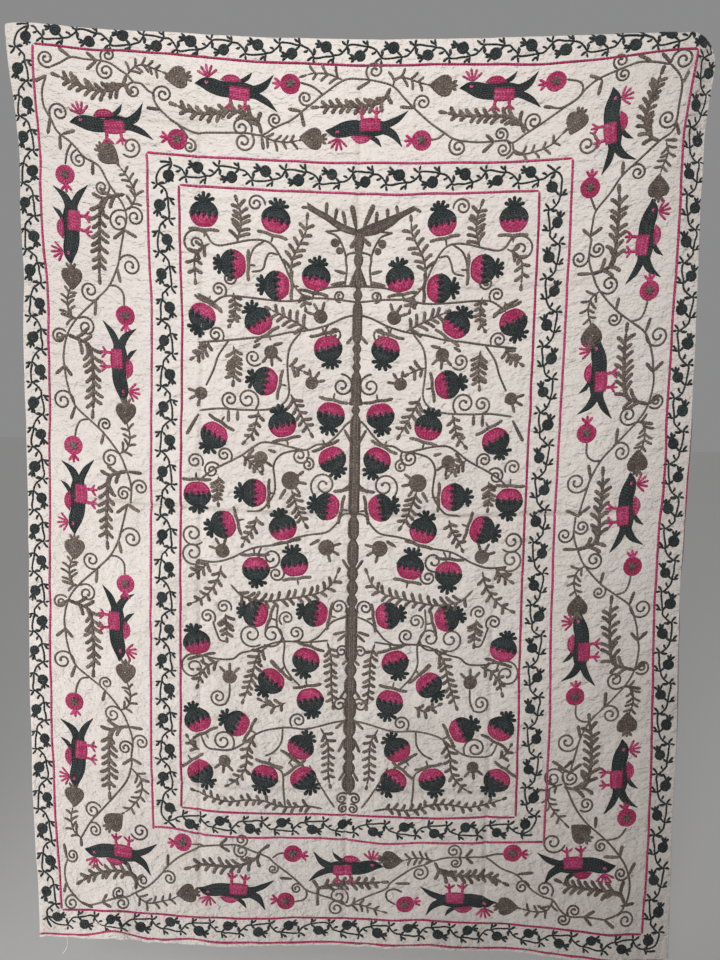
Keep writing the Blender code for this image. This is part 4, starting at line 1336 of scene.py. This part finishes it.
# The top border and its corners, charted from left to right.
topBorder = {
    "stems": (
        ((-65.2, -22.2), (-63.2, -23.3), (-61, -24.7), (-58.3, -24.7), (-54.6, -24.7), (-52.6, -24.2),
         (-50.7, -23), (-49.2, -22.1), (-47.8, -20.7), (-46.3, -20.5), (-44.9, -19.2), (-43.7, -18.5),
         (-43.6, -17.2), (-42.3, -15.3), (-39.5, -13), (-35.6, -11.2), (-31.9, -11.3), (-24.7, -11.6),
         (-21, -11.4), (-18.2, -13.2), (-14.6, -15), (-12, -17.2), (-9.8, -19.1), (-8.2, -20.5),
         (-3.8, -23.6), (-0.4, -23.9), (2.8, -23.5), (6.5, -22.4), (9.1, -19.8), (11.2, -17.7),
         (14.4, -14.8), (17.8, -12.4), (20.2, -11), (24.4, -10.4), (28, -10.5), (31.1, -10.7),
         (32.6, -10.2), (35.2, -11.9), (38.3, -13.8), (41, -15.6), (43.2, -17.1), (45.7, -18.8),
         (46.8, -20.3), (49.2, -22.2), (53.2, -23.8), (56.8, -24.9), (59.9, -24.7), (63.6, -23.9)),
        ((-66.3, -20), (-67.4, -17.2), (-67.3, -14.1), (-66.1, -11.8), (-64.7, -9), (-61.8, -6.9),
         (-59.2, -4.2), (-56, -2.5), (-54, 1), (-51.2, 4.9), (-50.3, 7.7), (-50.9, 10.2)),
        ((-61.8, -6.9), (-62.9, -4.8), (-63.4, -2.4)), ((-8.2, -20.5), (-10.3, -22), (-12.8, -22.7)),
        ((17.8, -12.4), (16.4, -11.3), (14.9, -11.1)), ((-39, -12.9), (-36.8, -10.2), (-37, -9.9)),
        ((63.6, -23.9), (65.9, -21.6), (66.8, -19.3), (66.9, -15.7), (66.9, -12), (66.2, -10),
         (63.7, -8.3), (59.9, -5), (56.3, -1.9), (53.8, 1.6), (51, 5), (50.4, 7.7), (50, 10.6)),
        ((42.8, -22.6), (45.6, -21.8), (46.2, -19.8), (44.6, -17.9), (42, -16.8), (39.8, -17.2)),
        ((51, 5), (50.2, 3.2), (49.8, 2.2)),
    ),
    "sprigs": (
        (((-49.2, -22.1), (-47.8, -23.8), (-46, -24.5), (-44, -24), (-41.8, -23.3)), 5, 2.2),
        (((-49.6, 6), (-48.2, 3), (-49.6, -0.4), (-51.4, -2.7)), 5, 2.2),
        (((-21, -11.3), (-18.8, -10.4), (-15.6, -10.1), (-13.2, -10.6)), 4, 2.2),
        (((-4, -23.6), (-7, -24.7), (-10.2, -24.8), (-11.6, -24.4)), 3, 2.3),
        (((6.5, -22.4), (7.1, -24), (9.3, -24), (12, -23.1), (13.8, -22.6)), 4, 2.2),
        (((32.5, -10.2), (33.4, -7.8), (37, -8), (40.6, -9.2), (43, -11.4)), 5, 2.2),
        (((65.2, -8), (65.7, -5.8), (64.8, -3.2), (64.3, -1.6)), 4, 2.2),
    ),
    "ferns": (
        (((-49.4, -22), (-50.4, -19.8), (-54, -18.4), (-57.5, -18.6), (-60.5, -19.4), (-63.4, -20.3)), 9, 2.6),
        (((-50.6, 2.9), (-53.6, 3.6), (-55.8, 5), (-56.3, 9), (-56.5, 14), (-57, 19), (-57.1, 20.4)), 10, 2.8),
        (((-21, -11.6), (-22, -14.2), (-24.8, -15.6), (-28, -16.2), (-31, -15.3), (-35.3, -15.3), (-38.8, -16.4)), 10, 2.5),
        (((6, -22), (4.8, -19.8), (2.8, -18.6), (-1.5, -18.1), (-5.6, -18.1), (-9, -17.8)), 9, 2.4),
        (((35, -12.2), (33.6, -14.6), (30.5, -15.7), (26.3, -15.9), (21.4, -16), (18, -16.6)), 9, 2.4),
        (((63.7, -8.3), (61.8, -9.4), (60.3, -12.6), (60.6, -16.4), (61.4, -20), (61.9, -22)), 9, 2.6),
    ),
    "spirals": (
        ((-65.0, -22.2), (-66.2, -23.9), 1), ((-54.6, -24.8), (-53.3, -26), 1), ((-54.6, -24.6), (-53.8, -22.6), -1),
        ((-66.0, -11.8), (-64.1, -13), 1), ((-60.6, -5.6), (-60.4, -3.6), -1), ((-54.3, 0.4), (-55.6, 1.8), 1),
        ((-50.6, 6.4), (-51.9, 8.7), -1), ((-50.6, 6.4), (-48.5, 7.5), 1), ((-50.8, -5.6), (-48.9, -7.2), -1),
        ((-46.9, -20.5), (-47.9, -18.9), -1), ((-43.6, -17.4), (-41.7, -18.6), 1), ((-10.2, -18.8), (-11.8, -19.6), 1),
        ((1.6, -23.8), (2.7, -25.6), 1), ((-17.6, -13.2), (-18.2, -14.8), 1), ((-23.2, -11.6), (-25.3, -12.7), -1),
        ((-23.2, -11.6), (-24.8, -9.8), 1), ((11.4, -17.6), (12.9, -18.9), 1), ((19.6, -11.2), (20.8, -9.4), -1),
        ((-36.6, -9.8), (-36.4, -8.2), 1),
        ((36, -12.4), (36.8, -14.4), 1), ((31, -10.8), (29.9, -12), -1), ((31.2, -10.6), (30.6, -8.9), 1),
        ((48.6, -11.2), (48.4, -8.7), 1), ((53, -23.8), (54.3, -22.8), -1), ((53, -23.9), (53.5, -25.6), 1),
        ((63.6, -24), (66.1, -24.6), 1), ((66.9, -12), (64.9, -12.8), 1), ((58.2, -3.6), (59.5, -2.2), 1),
    ),
    "leaves": (
        (-55.7, -24.6, -58, -26.3), (-55.7, -24.6, -57.9, -22.4), (-61.2, -24.8, -63.7, -26.4),
        (-66.3, -20.2, -69, -18.8), (-66.1, -11.8, -66.9, -8.2), (-63.6, -8.6, -60.8, -9.6),
        (-64.2, -8.2, -64.3, -5.2), (-57.3, -3.4, -57.5, -0.4), (-21, -11, -20.6, -8.2),
        (1.6, -23.4, -1.2, -21.7), (11, -17.8, 8, -18.1), (-12.8, -16.8, -15.6, -17.2), (-12.8, -16.8, -12, -13.4),
        (49.8, -22.1, 47.2, -23.1), (50, -21.8, 49.6, -18.7), (59.4, -25, 56.8, -26.5), (63.4, -24.3, 61.4, -26.4),
        (66.9, -20, 67.7, -22.5), (28.4, -10.6, 26.6, -12), (28.4, -10.3, 26, -8.1), (67, -11.8, 68, -9.2),
        (65, -8.4, 67.8, -8.3), (56.3, -1.8, 56.4, -4.9), (50, 10.2, 48.2, 8.5), (50, 10.2, 52.6, 8.5),
        (40.6, -17, 38.4, -17.4), (-42.4, -15.4, -45.4, -15.6),
    ),
    "hearts": ((-39, -22.5, 84), (-53.6, -4.9, 305), (-10.6, -11.2, 92), (16.6, -22.4, 92), (45.6, -13.4, 20),
               (64.1, 1, 180)),
    "fruits": ((-15, -22.4, 270), (-38.9, -9.4, 275), (-63.5, 0, 176), (13, -11, 268), (40.6, -22.4, 262),
               (49.5, 0.1, 5)),
}
workBorder(topBorder)

# The bottom border and its corners, charted from left to right.
bottomBorder = {
    "stems": (
        ((-50.3, 129.2), (-50.3, 131), (-51.6, 135), (-54.2, 138.6), (-57.6, 142.6), (-59.8, 145),
         (-61.4, 147.2), (-63, 149.8)),
        ((-66.7, 155), (-67.7, 157.4), (-67.6, 160.2), (-66.3, 162.6), (-64, 165), (-62, 165.6),
         (-58.6, 164.7), (-55.2, 163.6), (-52.4, 163.1), (-50.4, 161.8), (-47, 159.7), (-44.2, 157),
         (-42.3, 154.6), (-39.3, 152), (-35.8, 150), (-33.4, 149), (-29.8, 148.4), (-25.7, 148.1),
         (-22.4, 149.4), (-18.6, 151), (-16.9, 152.6), (-14, 155), (-11.6, 157.2), (-9.5, 159.4),
         (-6.9, 160.6), (-3.3, 161.8), (0.3, 163.6), (2.1, 162.5), (5.7, 160.4), (9.2, 158.6),
         (10.3, 157), (12.6, 155), (15.4, 153), (18.3, 151.9), (20.3, 150.8), (23.5, 149.8),
         (27.6, 149.8), (31, 149.8), (32.8, 150.3), (36, 152.7), (39.5, 154.2), (41.8, 156.3),
         (43.6, 158), (46, 159.2), (48.2, 159.8), (50, 162.1), (52.2, 163.4), (55.5, 163.2), (60, 163.4)),
        ((50, 129), (49.3, 130.5), (51, 135.2), (52.8, 138.8), (55.1, 141.8), (57.4, 143.8),
         (59.4, 145.6), (61.4, 147.7), (63.8, 150.8), (65, 153.6), (65.4, 156.4), (64.8, 159.5),
         (63.2, 161.9), (60, 163.4)),
        ((-36.3, 148.8), (-34.8, 148.8), (-33.4, 149)), ((-17.4, 151.2), (-16, 150.2), (-14.8, 150.1)),
        ((-12, 162.4), (-10.2, 162), (-9.3, 160.9), (-9.5, 159.4)),
        ((11.6, 162.5), (9.7, 161.3), (9.5, 159.4), (11.2, 158.5), (13, 159.2)),
        ((36.4, 149.2), (34.4, 149.2), (32, 149.9)), ((63.8, 143), (62.3, 145), (59.4, 145.7)),
    ),
    "sprigs": (
        (((-63.2, 150), (-64.9, 148.4), (-65.3, 145.6), (-64.7, 143)), 4, 2.2),
        (((-50.3, 131.8), (-48.2, 134.7), (-48.4, 138.2), (-50.9, 141.6), (-52.4, 142.8)), 6, 2.2),
        (((-50.4, 161.8), (-48.7, 163.4), (-46.6, 164), (-42, 162.8), (-40.2, 161.8)), 5, 2.2),
        (((0.3, 163.6), (2.7, 163), (5.6, 163.9), (8.4, 164.5)), 4, 2.0),
        (((20.3, 150.8), (17.5, 150.3), (15.2, 150.4), (13.4, 150.9)), 4, 2.2),
        (((48.2, 159.8), (47, 162.4), (44, 163), (41, 162.5)), 4, 2.2),
        (((49.3, 132.2), (46.2, 133.5), (46.2, 136.4), (48, 139.4), (50, 141.6)), 6, 2.2),
    ),
    "ferns": (
        (((-50.2, 161), (-50.2, 157.8), (-52.8, 157), (-57.1, 157.3), (-61.2, 158.5), (-63.4, 159.8)), 8, 2.6),
        (((-20.2, 149.4), (-21.5, 151.6), (-25.7, 153.4), (-29.8, 153.5), (-34, 153.6), (-36.6, 154.4)), 8, 2.5),
        (((-6.8, 161.2), (-6.3, 159), (-2.8, 158.1), (0.7, 157.7), (4.8, 157.3), (8.2, 156.9)), 8, 2.4),
        (((20.5, 151.2), (22.2, 154), (26, 154.6), (30, 154.6), (33.6, 155), (36.4, 156.2)), 9, 2.4),
        (((64.4, 159.6), (63.2, 157.6), (60, 157), (55.6, 156.8), (52.2, 156.4), (50, 155.6)), 8, 2.6),
        (((49.6, 133), (52.2, 133.6), (54.6, 132.6), (55.5, 127.5), (55.4, 121.4), (55, 117.6)), 10, 2.8),
    ),
    "spirals": (
        ((-57.8, 142.4), (-59.9, 143.2), -1), ((-61, 146.4), (-59.7, 147.8), 1), ((-66.9, 155.2), (-65.6, 154.2), -1),
        ((-65, 163.6), (-66.4, 165.1), -1), ((-55.2, 163.6), (-54.3, 162.3), 1), ((-55.2, 163.6), (-53.5, 164.7), 1),
        ((-46.8, 159.6), (-48.4, 158.6), 1), ((-43.4, 156.3), (-41.9, 157.4), 1), ((-51, 147.4), (-48.7, 146.8), -1),
        ((-26, 148.1), (-24.7, 146.8), -1), ((-26, 148.2), (-24.7, 149.6), -1), ((-16.3, 153.1), (-17.3, 154), 1),
        ((-10.6, 158.2), (-11.7, 159.1), -1), ((-0.2, 163.2), (-1.9, 161.2), -1), ((-0.2, 163.4), (-2.3, 164.2), -1),
        ((18, 152.2), (17.1, 154.2), 1), ((25.9, 149.8), (24.8, 148.2), -1), ((25.9, 149.8), (25.3, 151.2), 1),
        ((42.8, 157.2), (41, 157.2), -1), ((47.6, 159), (46.2, 157.4), -1), ((52.1, 163.4), (53.1, 162), 1),
        ((52.1, 163.4), (50.7, 164.2), 1), ((62.8, 162.6), (64.9, 163.4), 1), ((64.8, 153.6), (63.2, 153.1), 1),
        ((59.4, 145.7), (58.4, 147), -1), ((53.2, 138.4), (54.7, 137.2), -1), ((49.3, 129.8), (47, 130.8), -1),
        ((49.3, 129.8), (51.1, 130.8), -1), ((50.4, 146.6), (47.6, 146.3), 1),
    ),
    "leaves": (
        (-50.2, 129.3, -52.6, 131.3), (-50.2, 129.3, -47.8, 130.6), (-63.2, 150, -63.2, 152.2),
        (-67, 154.9, -67.5, 151.6), (-64, 165, -61, 166.2), (-67.6, 160.6, -68.2, 162.8),
        (-58.6, 164.7, -57.2, 162.6), (-58.6, 164.7, -56, 165.8), (-42.3, 154.3, -42.1, 151.6),
        (-29.8, 148.4, -27.9, 146.4), (-29.8, 148.4, -27.3, 149.9), (-20.4, 149.6, -18, 147.8),
        (-12.9, 156.6, -15.8, 156.3), (-6.8, 161, -6.7, 163.7), (11.6, 157, 15, 157), (27.6, 149.7, 29.2, 147.6),
        (27.6, 149.7, 29.4, 151.6), (40, 154.1, 43.6, 153.6), (55.5, 163.2, 57.8, 161.5), (55.5, 163.2, 57.3, 165.2),
        (60, 163.4, 62.4, 165.2), (63.8, 160.2, 66.8, 159.6), (64.8, 153.8, 66.4, 150.6), (62.7, 149.5, 63.3, 146.8),
        (62.6, 149.5, 59, 149.4), (57, 142.7, 57, 140), (49.5, 128.6, 46.7, 126.6), (49.5, 128.6, 51.5, 126.6),
    ),
    "hearts": ((-64.3, 140.6, 0), (-54.6, 145, 225), (-37.9, 160.7, 80), (10.6, 151.1, 270), (38, 162.3, 270),
               (53.5, 143.7, 130)),
    "fruits": ((-38.5, 148.5, 262), (-12.7, 150.2, 100), (-14.3, 162.3, 278), (13.9, 162.4, 78), (38.5, 149, 95),
               (63.9, 140.5, 350)),
}
workBorder(bottomBorder)

worked = (
    ("frame_lines", "pink"), ("outer_vine", "charcoal"), ("inner_vine", "charcoal"),
    ("border_stems", "taupe"), ("border_leaves", "taupe"), ("border_ferns", "taupe"),
    ("border_hearts", "taupe"), ("border_fruit", "pink"), ("border_stars", "taupe"),
    ("field_fruit_charcoal", "charcoal"), ("field_fruit_pink", "pink"),
    ("field_stems", "taupe"), ("field_leaves", "taupe"), ("tree_trunk", "taupe"), ("birds", "charcoal"),
    ("bird_pinks", "pink"),
)
for name, colour in worked:
    buildPiece(name, colour, ridge)
    buildPiece(name, colour, grooved, "_broad")

# Backs of the stitches on the reverse, and the sewing of the hem: short ridged dashes.
backs = {"width": 0.0014, "height": 0.0005, "every": 5, "long": 2}
hemSewing = {
    "in": 0.0095, "long": 0.0042, "pitch": 0.0072, "width": 0.0011, "height": 0.0005,
    "looseAt": -0.680, "loose": ((0, 0.001, 0), (0.002, -0.003, -0.012), (-0.001, -0.002, -0.027), (-0.012, 0.001, -0.044)),
    "looseRadius": 0.0013,
}


# Dashes between pairs of flat places, lifted from low to high off the cloth's middle.
def dashMesh(starts, ends, width, low, high):
    along = ends - starts
    unit = along / np.maximum(np.linalg.norm(along, axis=1, keepdims=True), 1e-9)
    right = np.stack([-unit[:, 1], unit[:, 0]], axis=1) * width / 2
    flat = np.stack([
        starts - right, starts + right, ends + right, ends - right,
        starts + along * 0.2, ends - along * 0.2,
    ], axis=1)
    count = len(starts)
    lift = np.tile((low, low, low, low, high, high), count)
    points = hangCloth(flat[:, :, 0].ravel(), flat[:, :, 1].ravel(), lift)
    first = 6 * np.arange(count)[:, None]
    quads = np.array(((0, 4, 5, 3), (4, 1, 2, 5), (1, 0, 3, 2)))
    triangles = np.array(((1, 4, 0), (3, 5, 2)))
    if high < low:
        quads, triangles = quads[:, ::-1], triangles[:, ::-1]
    quads = (first[:, :, None] + quads[None]).reshape(-1, 4)
    triangles = (first[:, :, None] + triangles[None]).reshape(-1, 3)
    return points, quads, triangles


def joinMeshes(name, colour, parts):
    base, points, quads, triangles = 0, [], [], []
    for spots, fours, threes in parts:
        points.append(spots)
        quads.append(fours + base)
        triangles.append(threes + base)
        base += len(spots)
    points = np.concatenate(points)
    stitchMap = np.zeros((len(points), 2))
    newMesh(name, points, np.concatenate(quads), np.concatenate(triangles), colour, np.full(len(points), 0.5), stitchMap)


under = -cloth["thickness"] / 2
for colour in ("charcoal", "pink", "taupe"):
    starts, ends = [], []
    for name in [name for name, yarn in worked if yarn == colour]:
        for path, *_ in pieces[name]:
            first = np.arange(1, len(path) - backs["long"], backs["every"])
            starts.append(path[first])
            ends.append(path[first + backs["long"]])
    dashes = dashMesh(
        np.concatenate(starts), np.concatenate(ends), backs["width"],
        under + stitch["sink"], under - backs["height"],
    )
    joinMeshes("stitch_backs_" + colour, colour, [dashes])


# A round thread along places in space, with a point at each end.
def threadMesh(places, radius, sides=6):
    tangent = np.gradient(places, axis=0)
    tangent /= np.linalg.norm(tangent, axis=1, keepdims=True)
    first = np.cross(tangent, (0, 1, 0))
    first /= np.linalg.norm(first, axis=1, keepdims=True)
    second = np.cross(tangent, first)
    turn = 2 * math.pi * np.arange(sides) / sides
    rings = places[:, None] + radius * (
        first[:, None] * np.cos(turn)[None, :, None] + second[:, None] * np.sin(turn)[None, :, None]
    )
    points = np.vstack([places[:1] - tangent[:1] * radius, rings.reshape(-1, 3), places[-1:] + tangent[-1:] * radius])
    grid = 1 + np.arange(len(places) * sides).reshape(-1, sides)
    after = np.roll(grid, -1, axis=1)
    quads = np.stack([grid[:-1], after[:-1], after[1:], grid[1:]], axis=-1).reshape(-1, 4)
    last = np.full(sides, len(points) - 1)
    triangles = np.vstack([
        np.stack([0 * last, after[0], grid[0]], axis=-1), np.stack([last, grid[-1], after[-1]], axis=-1),
    ])
    return points, quads, triangles


def sewRow(start, end, low, high):
    start, end = np.array(start), np.array(end)
    length = np.linalg.norm(end - start)
    at = np.arange(0.004, length - hemSewing["long"], hemSewing["pitch"])[:, None]
    way = (end - start) / length
    return dashMesh(start + way * at, start + way * (at + hemSewing["long"]), hemSewing["width"], low, high)


side, low = clothReach - hemSewing["in"], clothHeight - hemSewing["in"]
back = clothHeight + math.pi * cloth["hemFold"] + hemSewing["in"] - 0.001
thin, thick = cloth["thickness"] / 2, cloth["hemThickness"] / 2
sewn = [
    sewRow((-side, low), (side, low), thin - stitch["sink"], thin + hemSewing["height"]),
    sewRow((-side, back), (side, back), thin - stitch["sink"], thin + hemSewing["height"]),
]
for reach in (-side, side):
    for way in (1, -1):
        sewn.append(sewRow((reach, hemSewing["in"]), (reach, low), way * (thick - stitch["sink"]), way * (thick + hemSewing["height"])))
for way in (1, -1):
    top = hemSewing["in"]
    sewn.append(sewRow((-side, top), (side, top), way * (thick - stitch["sink"]), way * (thick + hemSewing["height"])))
hemEdge = hangCloth([hemSewing["looseAt"]], [clothHeight], [0.0])[0]
loose = hemEdge + np.array(hemSewing["loose"])
share = np.linspace(0, 1, 14)
loose = np.stack([readRow(np.stack([np.linspace(0, 1, 4), loose[:, k]], axis=1), share) for k in range(3)], axis=1)
sewn.append(threadMesh(loose, hemSewing["looseRadius"]))
joinMeshes("hem_sewing", "sewing", sewn)
